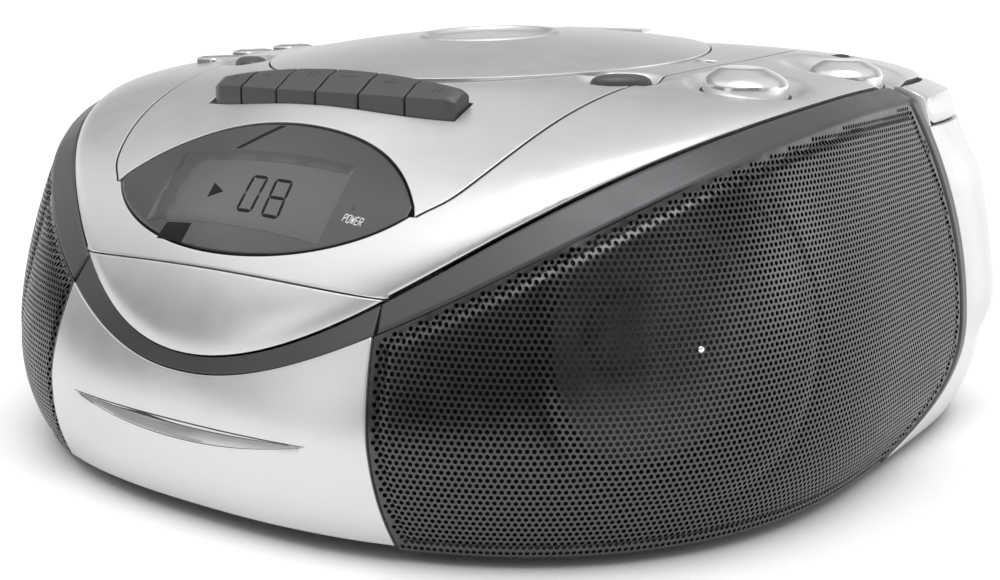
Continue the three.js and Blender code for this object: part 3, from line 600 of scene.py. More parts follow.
INK = grained("segment_ink", (0.003, 0.003, 0.003), 0.4, vary=0.1, spread=0.03, grain=300, strength=0.02,
              specular=0.15)
PRINT = grained("white_print", (0.6, 0.6, 0.6), 0.4, vary=0.05, spread=0.03, grain=900, strength=0.05)
# Dark tint for the painted shadow of the bezel along the display's top and left edges, and for the power
# lamp's own dark dot.
BEZEL_SHADOW_AND_LAMP = grained("bezel_shadow_and_lamp", (0.02, 0.0185, 0.019), 0.2, vary=0.12, spread=0.02, grain=300, strength=0.01,
                coat=0.6, coat_rough=0.04)

SLOT_FINISH = {
    "silver_shell": SILVER, "silver_knob": KNOB_SILVER, "graphite": GRAPHITE, "black_plastic": BLACK,
    "speaker_frame": BLACK, "cone_paper": CONE, "grille_steel": MESH, "window_tint": LENS,
    "lcd_glass": GLASS, "rubber_foot": RUBBER, "plated_steel": PLATED, "chrome_aerial": CHROME,
    "turned_brass": BRASS, "circuit_board": BOARD,
}
for node, obj in frame["nodes"].items():
    obj.data.materials.clear()
    obj.data.materials.append(SLOT_FINISH[SLOT_OF[node]])

# ---------------------------------------------------------------- placing pieces
TILT = math.atan(TOP_SLOPE)
BODY_PLACE = Matrix.Translation((0, CENTRE_Y, FOOT_HEIGHT))
LID_SPOT = Matrix.Translation((0, LID_Y, TOP_Z + TOP_SLOPE * LID_Y))
DECK_PLACE = BODY_PLACE @ LID_SPOT @ Matrix.Rotation(TILT, 4, "X")
MIRROR = Matrix.Scale(-1, 4, (1, 0, 0))


def piece(name, part, finish, nodes=(), body="root", slot=None, place=BODY_PLACE, crease=32):
    """A visible piece from points and faces in millimetres; it replaces nodes or rides on a body."""
    points, faces = part
    turn = np.array(place.to_3x3())
    world = (np.asarray(points) @ turn.T + np.array(place.translation)) * MM
    mesh = bpy.data.meshes.new(name)
    mesh.from_pydata(world.tolist(), [], [tuple(int(i) for i in f) for f in faces])
    mesh.validate()
    mesh.update()
    mesh.shade_smooth()
    mesh.set_sharp_from_angle(angle=math.radians(crease))
    mesh.materials.append(finish)
    obj = bpy.data.objects.new(name, mesh)
    bpy.context.scene.collection.objects.link(obj)
    if nodes:
        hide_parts(*nodes)
        body, slot = BODY_OF[nodes[0]], slot or SLOT_OF[nodes[0]]
    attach(obj, body)
    return obj


def pair(name, part, finish, node=None, place=BODY_PLACE, **more):
    """The same piece on the right and, mirrored, on the left."""
    for side, shape, spot in (("right", part, place), ("left", turned_inside_out(part), MIRROR @ place)):
        piece(f"{side}_{name}", shape, finish, [f"{side}_{node}"] if node else (), place=spot, **more)


def bevelled(obj, width):
    mod = obj.modifiers.new("edges", "BEVEL")
    mod.width = width * MM
    mod.segments = 3
    mod.limit_method = "ANGLE"
    mod.angle_limit = math.radians(30)
    mod.harden_normals = False


# ---------------------------------------------------------------- lines of the top
def lens_points(grow=0.0):
    """Front view of the display window: upper arc from left to right, then the lower arc back."""
    tip, mid = 56 + grow, 86
    up = bezier((-tip, mid), (-tip + 24, mid + 24 + grow), (tip - 24, mid + 24 + grow), (tip, mid), 60)
    down = bezier((tip, mid), (tip - 20, mid - 18 - grow), (-tip + 20, mid - 18 - grow), (-tip, mid), 60)
    blunt = slice(1, -1)
    return up[blunt], down[blunt]


def on_plan(front_view):
    """Front-view points (x, z) moved to plan points (x, y) on the top."""
    x, z = front_view[:, 0], front_view[:, 1]
    phi = heading_at_x(x, z)
    r = surface_radius(phi, z)
    return np.stack([r * np.sin(phi), -r * np.cos(phi)], 1)


def deck_side(grow):
    """The right half of the seam round the control deck, from the display window to the back."""
    side = [(57.5, -108), (66, -100), (73, -84), (78, -60), (82, -28), (85, 0), (87, 30), (86, 62), (79, 88),
            (60, 96.5), (30, 97.5), (0, 97.8)]
    line = curve_through(side)
    return line + np.array([grow, 0])


def deck_line(grow):
    right = deck_side(grow)
    left = right[::-1] * np.array([-1, 1])
    return np.vstack([right, left[1:]])


def shell_loops():
    up, down = lens_points(SEAM_GAP)
    down = on_plan(down)
    deck = deck_line(SEAM_GAP / 2)
    inner = np.vstack([down[::-1], deck])
    corner = float(heading_at_x(SEAM_HALF, 60.0))
    for _ in range(8):
        corner = float(heading_at_x(SEAM_HALF, float(ring_upper_z(corner))))
    turn = np.linspace(corner, 2 * math.pi - corner, 420)
    rim = polar(rim_radius(turn) - 0.05, turn, turn)[:, :2]
    x = np.linspace(-SEAM_HALF, SEAM_HALF, 80)
    phi = heading_at_x(x, seam_z(x) + 0.1)
    r = surface_radius(phi, seam_z(x) + 0.1)
    mouth = np.stack([r * np.sin(phi), -r * np.cos(phi)], 1)
    return np.vstack([rim, mouth]), inner


def rim_rings():
    """Rings of points beside the rim, where the top bends most."""
    out = []
    for rho in (0.995, 0.985, 0.97, 0.95, 0.925, 0.9):
        turn = np.linspace(0, 2 * math.pi, 300, endpoint=False)
        out.append(polar(rim_radius(turn) * rho, turn, turn)[:, :2])
    return np.vstack(out)


def halo(centre, inner, outer, step=1.0):
    """Rings of points over a round hollow."""
    out = []
    for r in np.arange(inner, outer, step):
        out.append(oval(centre, (r, r), n=max(24, int(2 * math.pi * r / (1.3 * step)))))
    return np.vstack(out)


def oval_halo(place, inner, outer, step=0.8):
    centre, size, turn = place
    return np.vstack([oval(centre, size, turn, 72, g) for g in np.arange(inner, outer, step)])


shell_outer, shell_inner = shell_loops()
button_holes = [round_rect(middle(n)[:2], (11.0, 16.0), 2.2) for n in CD_BUTTONS]
switch_hole = round_rect(SWITCH, SWITCH_SLOT, 2.4)
shell_extra = np.vstack([
    rim_rings(), halo(VOLUME, VOLUME_R + 1.2, VOLUME_R + 7), halo(TUNING, TUNING_R + 1.2, TUNING_R + 10)])
KNOBS = ((VOLUME, VOLUME_R), (TUNING, TUNING_R))
knob_holes = [oval(spot, (radius + 0.7,) * 2, n=96) for spot, radius in KNOBS]
shell_holes = [shell_inner, *knob_holes, switch_hole, *button_holes]
SEAM_LIP = 0.16
shell = sheet(dented_top, densify(shell_outer), [densify(hole) for hole in shell_holes], extra=shell_extra,
              lip=SEAM_LIP)
piece("top_shell_skin", shell, SILVER, ["top_shell"])

lens_up, _ = lens_points(SEAM_GAP)
deck_outer = np.vstack([on_plan(lens_up), deck_line(-SEAM_GAP / 2) * np.array([0.997, 1])])
key_low, key_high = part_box(KEYS[0]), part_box(KEYS[-1])
BANK_HALF = (key_high[1].x - key_low[0].x) / 2 / MM + 0.6
KEY_FRONT, KEY_REAR = -82.0, -70.2


def bank_front(x):
    return KEY_FRONT + 4.5 * (x / BANK_HALF) ** 2


def bank_slot():
    x = np.linspace(-BANK_HALF, BANK_HALF, 60)
    front = np.stack([x, bank_front(x) - 0.7], 1)
    rear = np.stack([x[::-1], np.full(60, KEY_REAR + 0.9)], 1)
    return np.vstack([front, rear])


lid_hole = oval((0, LID_Y), (LID_RADIUS + 0.6, LID_RADIUS + 0.6), n=200)
deck_holes = [lid_hole, bank_slot()]
deck_holes += [oval(c, size, turn, 64, 0.5) for c, size, turn in OVALS.values()]
deck_extra = np.vstack([oval_halo(p, 1.0, 6.0) for p in OVALS.values()])
deck = sheet(dented_top, densify(deck_outer), [densify(hole) for hole in deck_holes], extra=deck_extra,
             lip=SEAM_LIP)
piece("control_deck_skin", deck, SILVER, ["control_deck"])

lens_loop = on_plan(np.vstack(lens_points(-0.1)))
piece("display_window", sheet(top_chart, densify(lens_loop), pitch=2.4, lip=0.2), LENS, ["lcd_window"])


def under_top(points):
    """The underside of the top skins."""
    return top_chart(points) - np.array([0, 0, 2.45])


# Dark liners painted into the seams stand in for the shade inside them: a plate under the window and a strip
# in the seam round the deck.
wide_window = on_plan(np.vstack(lens_points(2.0)))
window_shade_plate = sheet(under_top, densify(wide_window), pitch=5, lip=0.2, depth=0.8)
seam_half = SEAM_GAP / 2 - 0.02
seam_strip = np.vstack([deck_side(seam_half), deck_side(-seam_half)[::-1]])
seam_shade_strip = sheet(dented_top, densify(seam_strip), pitch=3, lip=0.02, depth=2.4, lift=-0.22)
piece("seam_shade_strips", joined(window_shade_plate, seam_shade_strip, flipped(seam_shade_strip)), FELT_AND_SEAM_SHADE, slot="black_plastic")

# ---------------------------------------------------------------- display behind the window
DISPLAY = np.array([[-36, -99.2], [30, -99.2], [33, -119], [-33, -119]])


def on_display(points):
    """Points given as shares of the display's width and height, from its upper left corner."""
    a, b = np.asarray(points, float).T[:, :, None]
    top = DISPLAY[0] * (1 - a) + DISPLAY[1] * a
    low = DISPLAY[3] * (1 - a) + DISPLAY[2] * a
    return top * (1 - b) + low * b


def inlay(shape, lift, pitch=2.5, lip=0.06):
    return sheet(top_chart, densify(on_display(shape), 1.2), pitch=pitch, lip=lip, depth=0.14, lift=lift)


DISPLAY_WIDE, DISPLAY_DEEP = 66, 22
BAR_WIDE = 0.8


def bar(a, b):
    """A segment of a digit: a thin six-sided bar between two places on the display."""
    a, b = np.array(a, float), np.array(b, float)
    along = (b - a) / np.linalg.norm((b - a) * np.array([DISPLAY_WIDE, DISPLAY_DEEP]))
    across = np.array([-along[1] * DISPLAY_DEEP / DISPLAY_WIDE, along[0] * DISPLAY_WIDE / DISPLAY_DEEP])
    c, d = a + along * BAR_WIDE, b - along * BAR_WIDE
    half = across * BAR_WIDE / 2
    return np.array([a, c - half, d - half, b, d + half, c + half])


def digit(left, right, top, low, slant, missing=()):
    """The seven segments of a digit, without the missing ones."""
    mid = (top + low) / 2
    spots = {
        "a": ((left, top), (right, top)), "b": ((right, top), (right, mid)),
        "c": ((right, mid), (right, low)), "d": ((left, low), (right, low)),
        "e": ((left, mid), (left, low)), "f": ((left, top), (left, mid)), "g": ((left, mid), (right, mid)),
    }
    shown = [ends for key, ends in spots.items() if key not in missing]
    return [bar(*((x + slant * (mid - y), y) for x, y in ends)) for ends in shown]


piece("display_field", inlay([(0, 0), (1, 0), (1, 1), (0, 1)], 0.05), GLASS, ["lcd_module"])
# Painted shadow: dark strips along the top and left edges of the display stand in for the shade the window's
# bezel casts.
bezel_shadows = [[(0.0, 0.0), (1.0, 0.0), (0.985, 0.13), (0.16, 0.16)],
          [(0.0, 0.0), (0.16, 0.16), (0.13, 0.98), (0, 1)]]
piece("display_bezel_shadow", joined(*[inlay(s, 0.09) for s in bezel_shadows]), BEZEL_SHADOW_AND_LAMP, slot="window_tint")
ink = digit(0.51, 0.588, 0.37, 0.81, 0.0, "g") + digit(0.65, 0.737, 0.38, 0.83, -0.03)
ink.append(np.array([(0.305, 0.5), (0.38, 0.605), (0.305, 0.69)]))
piece("display_digits", joined(*[inlay(s, 0.16, 1.5, 0.03) for s in ink]), INK, slot="window_tint")
marks = [[(0.14, 1.02), (0.29, 1.02), (0.28, 1.24), (0.12, 1.2)],
         [(0.30, -0.03), (0.33, -0.03), (0.52, -0.42), (0.485, -0.42)]]
piece("display_frame_marks", joined(*[inlay(s, 0.06, 1.5, 0.04) for s in marks]), INK, slot="window_tint")
lamp = on_display([(1.09, 0.5)])[0]
lamp_dot = sheet(top_chart, oval(lamp, (0.8, 0.8), n=20), pitch=1.0, lip=0.15, depth=0.3, lift=0.12)
piece("power_lamp", lamp_dot, BEZEL_SHADOW_AND_LAMP, slot="window_tint")


LETTERS = {
    "P": [((0, 0), (0, 1)), ((0, 1), (0.7, 1)), ((0.7, 1), (0.7, 0.5)), ((0.7, 0.5), (0, 0.5))],
    "O": [((0, 0), (0, 1)), ((0, 1), (0.7, 1)), ((0.7, 1), (0.7, 0)), ((0.7, 0), (0, 0))],
    "W": [((0, 1), (0.18, 0)), ((0.18, 0), (0.35, 0.8)), ((0.35, 0.8), (0.52, 0)), ((0.52, 0), (0.7, 1))],
    "E": [((0, 0), (0, 1)), ((0, 1), (0.7, 1)), ((0, 0.5), (0.6, 0.5)), ((0, 0), (0.7, 0))],
    "R": [((0, 0), (0, 1)), ((0, 1), (0.7, 1)), ((0.7, 1), (0.7, 0.5)), ((0.7, 0.5), (0, 0.5)),
          ((0.2, 0.5), (0.7, 0))],
}


def word(text, corner, letter_size, stroke):
    """Thin printed letters, each stroke its own narrow bar."""
    shapes = []
    for place, letter in enumerate(text):
        for a, b in LETTERS[letter]:
            a, b = ((np.array(p) + (place, 0)) * letter_size + corner for p in (a, b))
            along = (b - a) / np.linalg.norm(b - a)
            across = np.array([-along[1], along[0]]) * stroke / 2
            shapes.append(np.array([a - across, b - across, b + across, a + across]))
    return shapes


label = word("POWER", lamp + (-1.0, -3.9), (1.35, 1.7), 0.24)
letters = [sheet(top_chart, s, pitch=2.0, lip=0.02, depth=0.12, lift=0.06) for s in label]
piece("power_label", joined(*letters), PRINT, slot="window_tint")

# ---------------------------------------------------------------- cassette door
EDGE = 0.3


def door_loop(low, high, half, n=60):
    """Outline in arc and height of a door piece between two lines that cross the door."""
    x = np.linspace(-1, 1, n)
    low_line, high_line = [], []
    for line, out in ((low, low_line), (high, high_line)):
        z = np.full(n, 30.0)
        for _ in range(10):
            phi = heading_at_x(x * (half(z) - EDGE), z)
            z = line(phi, x * (half(z) - EDGE))
        out.append(np.stack([arc_of(phi), z], 1))
    side_z = np.linspace(low_line[0][-1, 1], high_line[0][-1, 1], 20)[1:-1]
    right = np.stack([arc_of(heading_at_x(half(side_z) - EDGE, side_z)), side_z], 1)
    left = right[::-1] * np.array([-1, 1])
    return np.vstack([low_line[0], right, high_line[0][::-1], left])


SCOOP_Z, SCOOP_MID, SCOOP_HALF, SCOOP_DROP = 28.2, -1.5, 46.0, 5.2
LIP_DROP = 1.3


def scoop_span(arc):
    return np.clip(1 - ((arc - SCOOP_MID) / SCOOP_HALF) ** 2, 0, 1)


def scoop_lip(arc):
    return SCOOP_Z - LIP_DROP * scoop_span(arc)


def scoop_floor(arc):
    return SCOOP_Z - SCOOP_DROP * scoop_span(arc)


def scooped_side(points):
    """The door's lower face with its finger scoop: a narrow lip, then a hollow that runs out below."""
    base = side_chart(points)
    arc, z = points[:, 0], points[:, 1]
    span, lip_z = scoop_span(arc), scoop_lip(arc)
    t = np.clip((lip_z - z) / np.maximum(lip_z - scoop_floor(arc), 1e-6), 0, 1)
    deep = (1.1 + 1.2 * bell(arc, -12, 14)) * span ** 0.6
    hollow = deep * (1 - t) ** 1.3 * smooth_step((lip_z + 0.05 - z) / 0.25)
    ledge = 0.3 * span ** 0.5 * smooth_step((SCOOP_Z - 0.1 - z) / 0.25) * (1 - smooth_step((t - 0.9) / 0.1))
    inward = -base / np.linalg.norm(base[:, :2], axis=1, keepdims=True)
    inward[:, 2] = 0
    return base + inward * (hollow + ledge)[:, None]


def scoop_lines():
    arc = np.linspace(SCOOP_MID - SCOOP_HALF * 0.97, SCOOP_MID + SCOOP_HALF * 0.97, 130)
    lip_z, floor_z = scoop_lip(arc), scoop_floor(arc)
    rows = [np.full(130, SCOOP_Z + up) for up in (0.25, -0.1, -0.35)]
    rows += [lip_z + up for up in (0.05, -0.2)]
    rows += [(lip_z - 0.2) * (1 - t) + floor_z * t for t in (0.15, 0.3, 0.45, 0.6, 0.75, 0.9, 1.0)]
    lines = np.vstack([np.stack([arc, row], 1) for row in rows])
    keep = [0]
    for k in range(1, len(lines)):
        if np.min(np.linalg.norm(lines[keep] - lines[k], axis=1)) > 0.14:
            keep.append(k)
    return lines[keep]


def strip(centre_line, half_width, start, end, n=90):
    """A thin tapering strip along a line on the door, as an outline in arc and height."""
    arc = np.linspace(start, end, n)
    taper = np.clip(np.sin(np.linspace(0, math.pi, n)), 0.08, 1) ** 0.5
    z, half = centre_line(arc), half_width(arc) * taper
    return np.vstack([np.stack([arc, z - half], 1), np.stack([arc, z + half], 1)[::-1]])


panel_loop = door_loop(lambda p, x: np.full(len(p), DOOR_BOTTOM_Z), lambda p, x: ring_lower_z(p) - EDGE,
                       door_half_width)
panel = sheet(scooped_side, densify(panel_loop), pitch=2.6, depth=2.4, extra=scoop_lines())
piece("door_panel_skin", panel, SILVER, ["door_lower_panel"])
scoop_left, scoop_right = SCOOP_MID - SCOOP_HALF + 0.6, SCOOP_MID + SCOOP_HALF - 0.6


def shadow_slot_half(arc):
    """Half the height of the painted shadow in the slot under the lip, widest in the left third."""
    return 0.11 + 0.34 * bell(arc, -14, 8)


# Painted shade: black strips on the scoop for the dark gap line along its top, the shadow in the slot under
# the lip and the shadow line along its floor.
shadow_strips = [strip(lambda a: a * 0 + SCOOP_Z, lambda a: a * 0 + 0.2, scoop_left, scoop_right),
        strip(lambda a: scoop_lip(a) + shadow_slot_half(a), shadow_slot_half, scoop_left + 12, scoop_right - 5),
        strip(scoop_floor, lambda a: a * 0 + 0.09, scoop_left + 3, scoop_right - 1)]
shadow_strip_parts = [sheet(scooped_side, g, pitch=0.8, lip=0.03, depth=0.3, lift=0.1) for g in shadow_strips]
piece("door_scoop_shadow_strips", joined(*shadow_strip_parts), BLACK, body=BODY_OF["door_lower_panel"], slot="black_plastic")
band_loop = door_loop(lambda p, x: ring_lower_z(p), lambda p, x: ring_upper_z(p) - EDGE, door_half_width)
band_skin = sheet(side_chart, densify(band_loop), pitch=2.0, lip=0.3, lift=-0.5)
piece("door_band_skin", band_skin, GRAPHITE, ["door_band"])
crescent_loop = door_loop(lambda p, x: ring_upper_z(p), lambda p, x: seam_z(x) - EDGE,
                          lambda z: np.full(np.shape(z), 56.9))
piece("door_crescent_skin", sheet(side_chart, densify(crescent_loop), pitch=2.0), SILVER, ["door_crescent"])


# ---------------------------------------------------------------- speaker trims
def trim_loop():
    front_heading = float(heading_at_x(door_half_width(62.0) + EDGE, 62.0))
    z = np.linspace(SHELL_BOTTOM, RING_REST_Z, 110)
    edge = heading_at_y(rear_edge_y(z), z)
    meet = int(np.argmax(z > ring_lower_z(edge)))
    inner = np.stack([arc_of(edge[:meet]), z[:meet]], 1)[::-1]
    turn = np.linspace(front_heading, edge[meet], 70)
    lower = np.stack([arc_of(turn), ring_lower_z(turn)], 1)
    z = np.linspace(SHELL_BOTTOM, 109, 70)
    back = heading_at_y(rear_edge_y(z) + STRIP_WIDTH, z)
    outer = np.stack([arc_of(back), z], 1)
    turn = np.linspace(float(back[-1]) - math.radians(0.6), front_heading, 80)
    upper = np.stack([arc_of(turn), ring_upper_z(turn) - EDGE], 1)
    return np.vstack([lower, inner, outer, upper])


trim = sheet(side_chart, densify(trim_loop()), pitch=2.4, lip=0.8, depth=2.3)
pair("trim_skin", trim, GRAPHITE, "speaker_trim")

# ---------------------------------------------------------------- perforated speaker grilles
HOLE_PITCH, HOLE_R, SHEET_DEPTH = 1.8, 0.66, 0.7
GROOVE_IN, GROOVE_DEPTH = 3.2, 0.9
GRILLE_INSET, GRILLE_SWELL, GRILLE_DIP = 0.6, 1.36, 0.48
UNDER_TRIM = 0.5
SPEAKER_SPOT = np.array([arc_of(SPEAKER_HEADING), SPEAKER_Z])


def grille_loop():
    z = np.linspace(SHELL_BOTTOM, 66, 50)
    for _ in range(12):
        front = heading_at_x(door_half_width(z) + EDGE, z)
        z = np.linspace(SHELL_BOTTOM, float(ring_lower_z(front[-1])) - UNDER_TRIM, 50)
    front_line = np.stack([arc_of(front), z], 1)
    z = np.linspace(SHELL_BOTTOM, RING_REST_Z, 110)
    edge = heading_at_y(rear_edge_y(z) - 0.8, z)
    meet = int(np.argmax(z > ring_lower_z(edge) - UNDER_TRIM))
    rear_line = np.stack([arc_of(edge[:meet]), z[:meet]], 1)
    turn = np.linspace(front[-1], edge[meet], 90)[1:-1]
    upper = np.stack([arc_of(turn), ring_lower_z(turn) - UNDER_TRIM], 1)
    return np.vstack([rear_line, upper[::-1], front_line[::-1]])


def grille_chart(points):
    """The side wall, a little inside the trim, with a groove near its edge and a swelling over the cone."""
    phi = heading_of(points[:, 0])
    far = np.linalg.norm(points - SPEAKER_SPOT, axis=1) / SPEAKER_R
    swell = GRILLE_SWELL * np.clip(1 - far ** 2, 0, 1) ** 0.7 - GRILLE_DIP * bell(far, 1.04, 0.06)
    groove = GROOVE_DEPTH * bell(distance_to(points, GRILLE_EDGE), GROOVE_IN, 0.9)
    radius = surface_radius(phi, points[:, 1]) - GRILLE_INSET + swell - groove
    return polar(radius, phi, points[:, 1])


GRILLE_EDGE = densify(grille_loop(), 2.0)


def chart_normals(chart, points, step=0.6):
    dx, dy = np.array([step, 0]), np.array([0, step])
    across = chart(points + dx) - chart(points - dx)
    along = chart(points + dy) - chart(points - dy)
    normal = np.cross(across, along)
    return normal / np.linalg.norm(normal, axis=1, keepdims=True)


def perforated(loop):
    """A sheet with a six-sided hole in every cell of a honeycomb, and a plain rim."""
    loop = facing(loop)
    rim = inset(loop, 0.15)
    centres = grid(loop, HOLE_PITCH)
    corner = math.radians(30) + np.arange(6) * math.pi / 3
    cell = np.stack([np.cos(corner), np.sin(corner)], 1) * HOLE_PITCH / math.sqrt(3)
    corners = centres[:, None, :] + cell[None]
    whole = inside(corners.reshape(-1, 2), inset(loop, 0.22)).reshape(-1, 6).all(1)
    centres, corners = centres[whole], corners[whole]
    keys = np.round(corners.reshape(-1, 2), 3)
    _, first, index = np.unique(keys, axis=0, return_index=True, return_inverse=True)
    knots = corners.reshape(-1, 2)[first]
    cells = index.reshape(-1, 6)
    hole = np.stack([np.cos(corner), np.sin(corner)], 1) * HOLE_R
    holes = (centres[:, None, :] + hole[None]).reshape(-1, 2)
    base = len(knots)
    ring = base + np.arange(len(centres))[:, None] * 6 + np.arange(6)[None]
    faces = []
    for k in range(6):
        n = (k + 1) % 6
        faces += np.stack([cells[:, k], cells[:, n], ring[:, n], ring[:, k]], 1).tolist()
    flat = np.vstack([knots, holes])
    spots, normals = grille_chart(flat), chart_normals(grille_chart, flat)
    floor = spots[base:] - normals[base:] * SHEET_DEPTH
    under = ring + len(holes)
    for k in range(6):
        n = (k + 1) % 6
        faces += np.stack([ring[:, k], ring[:, n], under[:, n], under[:, k]], 1).tolist()
    edges = np.sort(np.stack([cells, np.roll(cells, -1, 1)], 2).reshape(-1, 2), axis=1)
    pairs, count = np.unique(edges, axis=0, return_counts=True)
    border = pairs[count == 1]
    used = np.unique(border)
    lookup = {int(k): i + len(rim) for i, k in enumerate(used)}
    points = rim.tolist() + knots[used].tolist()
    links = [(k, (k + 1) % len(rim)) for k in range(len(rim))]
    links += [(lookup[int(a)], lookup[int(b)]) for a, b in border]
    places, _, tri, _, _, _ = delaunay_2d_cdt([Vector(p) for p in points], links, [], 0, 1e-6)
    places = np.array([tuple(p) for p in places])
    tri = np.array([t for t in tri if len(t) == 3])
    mid = places[tri].mean(1)
    tri = tri[inside(mid, rim) & (nearest_kept(mid, centres) > HOLE_PITCH * 0.5)]
    start = len(spots) + len(floor)
    frame_spots = grille_chart(places)
    faces += (tri + start).tolist()
    skirt = grille_chart(loop) - chart_normals(grille_chart, loop) * SHEET_DEPTH
    skirt_start = start + len(places)
    for k in range(len(loop)):
        n = (k + 1) % len(loop)
        faces.append((start + k, skirt_start + k, skirt_start + n, start + n))
    return np.vstack([spots, floor, frame_spots, skirt]), faces


def nearest_kept(points, centres):
    """Hexagon distance from each point to the nearest kept cell centre."""
    best = np.full(len(points), 1e9)
    turn = np.arange(3) * math.pi / 3
    axes = np.stack([np.cos(turn), np.sin(turn)], 1)
    for start in range(0, len(points), 500):
        gap = points[start:start + 500, None, :] - centres[None]
        best[start:start + 500] = np.abs(gap @ axes.T).max(2).min(1)
    return best


grille = perforated(GRILLE_EDGE)
pair("grille_sheet", grille, MESH, "speaker_grille", crease=50)


FACE_OUT = Matrix.Rotation(math.radians(90), 4, "X")


def stud_place():
    """Where the bright stud sits: on the grille over the middle of the speaker, facing out."""
    spot = Matrix.Translation(grille_chart(SPEAKER_SPOT[None])[0])
    return BODY_PLACE @ spot @ Matrix.Rotation(SPEAKER_HEADING, 4, "Z") @ FACE_OUT


stud = lathe(rounded([(0, -0.8), (0.9, -0.8), (0.95, 0.1), (0.7, 0.5), (0, 0.6)], 0.3), 32)
pair("grille_stud", stud, CHROME, slot="chrome_aerial", place=stud_place())


def baffle_chart(points):
    """A surface behind the grille, where a black board hides the inside."""
    phi = heading_of(points[:, 0])
    return polar(surface_radius(phi, points[:, 1]) - 5.0, phi, points[:, 1])


baffle_loop = inset(facing(densify(grille_loop(), 4.0)), 1.0)
baffle = sheet(baffle_chart, baffle_loop, [oval(SPEAKER_SPOT, (38, 38), n=64)], pitch=7, lip=0.3, depth=1.2)
pair("baffle", baffle, FELT_AND_SEAM_SHADE, slot="black_plastic")


# ---------------------------------------------------------------- rear shell and handle
REAR_SWELL, REAR_SWELL_TOP = 4.6, 105.0


def rear_loop(n=160):
    """Outline in arc and height of the back wall, from one speaker trim round to the other."""
    z = np.linspace(SHELL_BOTTOM, LEDGE_Z, 60)
    edge = heading_at_y(rear_edge_y(z) + STRIP_WIDTH + 0.6, z)
    right = np.stack([arc_of(edge), z], 1)
    left = np.stack([arc_of(2 * math.pi - edge), z], 1)
    bottom = np.linspace(right[0], left[0], n)[1:-1]
    top = np.linspace(left[-1], right[-1], n)[1:-1]
    return np.vstack([bottom, left, top, right[::-1]])


def rear_spot(x, z):
    """Arc and height of a place on the back wall."""
    low, high = math.radians(100), math.radians(260)
    phi = bisect(lambda a: x - surface_radius(a, z) * np.sin(a), np.array(float(x)), low, high)
    return np.array([float(arc_of(phi)), z])


def rear_wall_chart(points):
    """The side wall, swelling out a little just behind the speaker trims."""
    phi, z = heading_of(points[:, 0]), points[:, 1]
    behind = np.degrees(folded(phi) - heading_at_y(rear_edge_y(z) + STRIP_WIDTH, z))
    along = smooth_step((behind - 0.8) / 3.5) * (1 - smooth_step((behind - 9) / 16))
    tall = smooth_step((z - 24) / 16) * smooth_step((REAR_SWELL_TOP - z) / 27)
    return polar(surface_radius(phi, z) + REAR_SWELL * along * tall, phi, z)


inlet_mid = middle("mains_inlet")
aerial_mid = middle("aerial_post")
inlet_size = (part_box("mains_inlet")[1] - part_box("mains_inlet")[0]) / MM
inlet_hole = round_rect(rear_spot(inlet_mid[0], inlet_mid[2]), (inlet_size.x + 1, inlet_size.z + 1), 2.0)
aerial_hole = oval(rear_spot(aerial_mid[0], aerial_mid[2]), (4.5, 4.5), n=40)
rear_holes = [densify(inlet_hole), aerial_hole]
rear_wall = sheet(rear_wall_chart, densify(rear_loop(), 2.0), rear_holes, pitch=4.0, depth=2.4)
PIVOT_HEADING = float(heading_at_y(HANDLE_PIVOT[0], HANDLE_PIVOT[1]))


def ledge_section(phi):
    """The step under the carry handle, set back near the handle's pivot."""
    relief = 2.6 * float(bell(folded(phi), PIVOT_HEADING, math.radians(5)))
    wall, shelf = float(surface_radius(phi, LEDGE_Z)), float(rim_radius(phi)) - 0.4 - relief
    pairs = [(wall - 0.3, LEDGE_Z - 0.1), (shelf, LEDGE_Z - 0.1), (shelf, 108.5), (shelf - 2, 108.5),
             (shelf - 2, LEDGE_Z - 2.5), (wall - 2.0, LEDGE_Z - 2.5)]
    return np.array([polar(r, phi, z) for r, z in pairs])


ledge = loft([ledge_section(p) for p in np.linspace(math.radians(108), math.radians(252), 90)])
piece("rear_shell_skin", joined(rear_wall, ledge), SILVER, ["rear_shell"])


def handle_section(phi):
    """The handle's cross-section at a heading; in front of the pivot it ends in a round eye."""
    pivot_y, pivot_z, eye = HANDLE_PIVOT
    ahead = pivot_y + float(surface_radius(phi, pivot_z)) * math.cos(phi)
    low, high = HANDLE_LOW, HANDLE_HIGH
    if ahead > 0:
        reach = math.sqrt(max(0.04, eye ** 2 - min(ahead, eye) ** 2))
        low, high = max(low, pivot_z - reach), min(high, pivot_z + reach)
    z = np.linspace(low, high, 9)
    outer = surface_radius(phi, z)
    inner = np.full(9, float(rim_radius(phi)) + HANDLE_CLEAR)
    outer = np.maximum(outer, inner + 0.5)
    round_off = np.array([0.9, 0.15, 0, 0, 0, 0, 0, 0.1, 0.5])
    outer = np.maximum(outer - round_off, inner + 0.3)
    profile = list(zip(outer, z)) + list(zip(inner[::-1], z[::-1]))
    return np.array([polar(r, phi, h) for r, h in profile])


def handle_headings():
    """Headings of the handle's sections: close together round the pivot, then evenly round the back."""
    pivot_y, pivot_z, eye = HANDLE_PIVOT
    start = float(heading_at_y(pivot_y - eye + 0.02, pivot_z))
    near = start + (1 - np.cos(np.linspace(0, math.pi / 2, 12))) * math.radians(6)
    rest = np.linspace(near[-1], math.pi, 70)[1:]
    half = np.concatenate([near, rest])
    return np.concatenate([half, 2 * math.pi - half[::-1][1:]])


def shoulder_section(phi):
    """The fixed part of the shell that fills the recess in front of the handle's end."""
    z = np.linspace(LEDGE_Z + 0.15, HANDLE_HIGH + 0.2, 9)
    outer = surface_radius(phi, z)
    inner = np.minimum(np.full(9, float(rim_radius(phi)) + 0.3), outer - 0.5)
    return np.array([polar(r, phi, h) for r, h in [*zip(outer, z), *zip(inner[::-1], z[::-1])]])


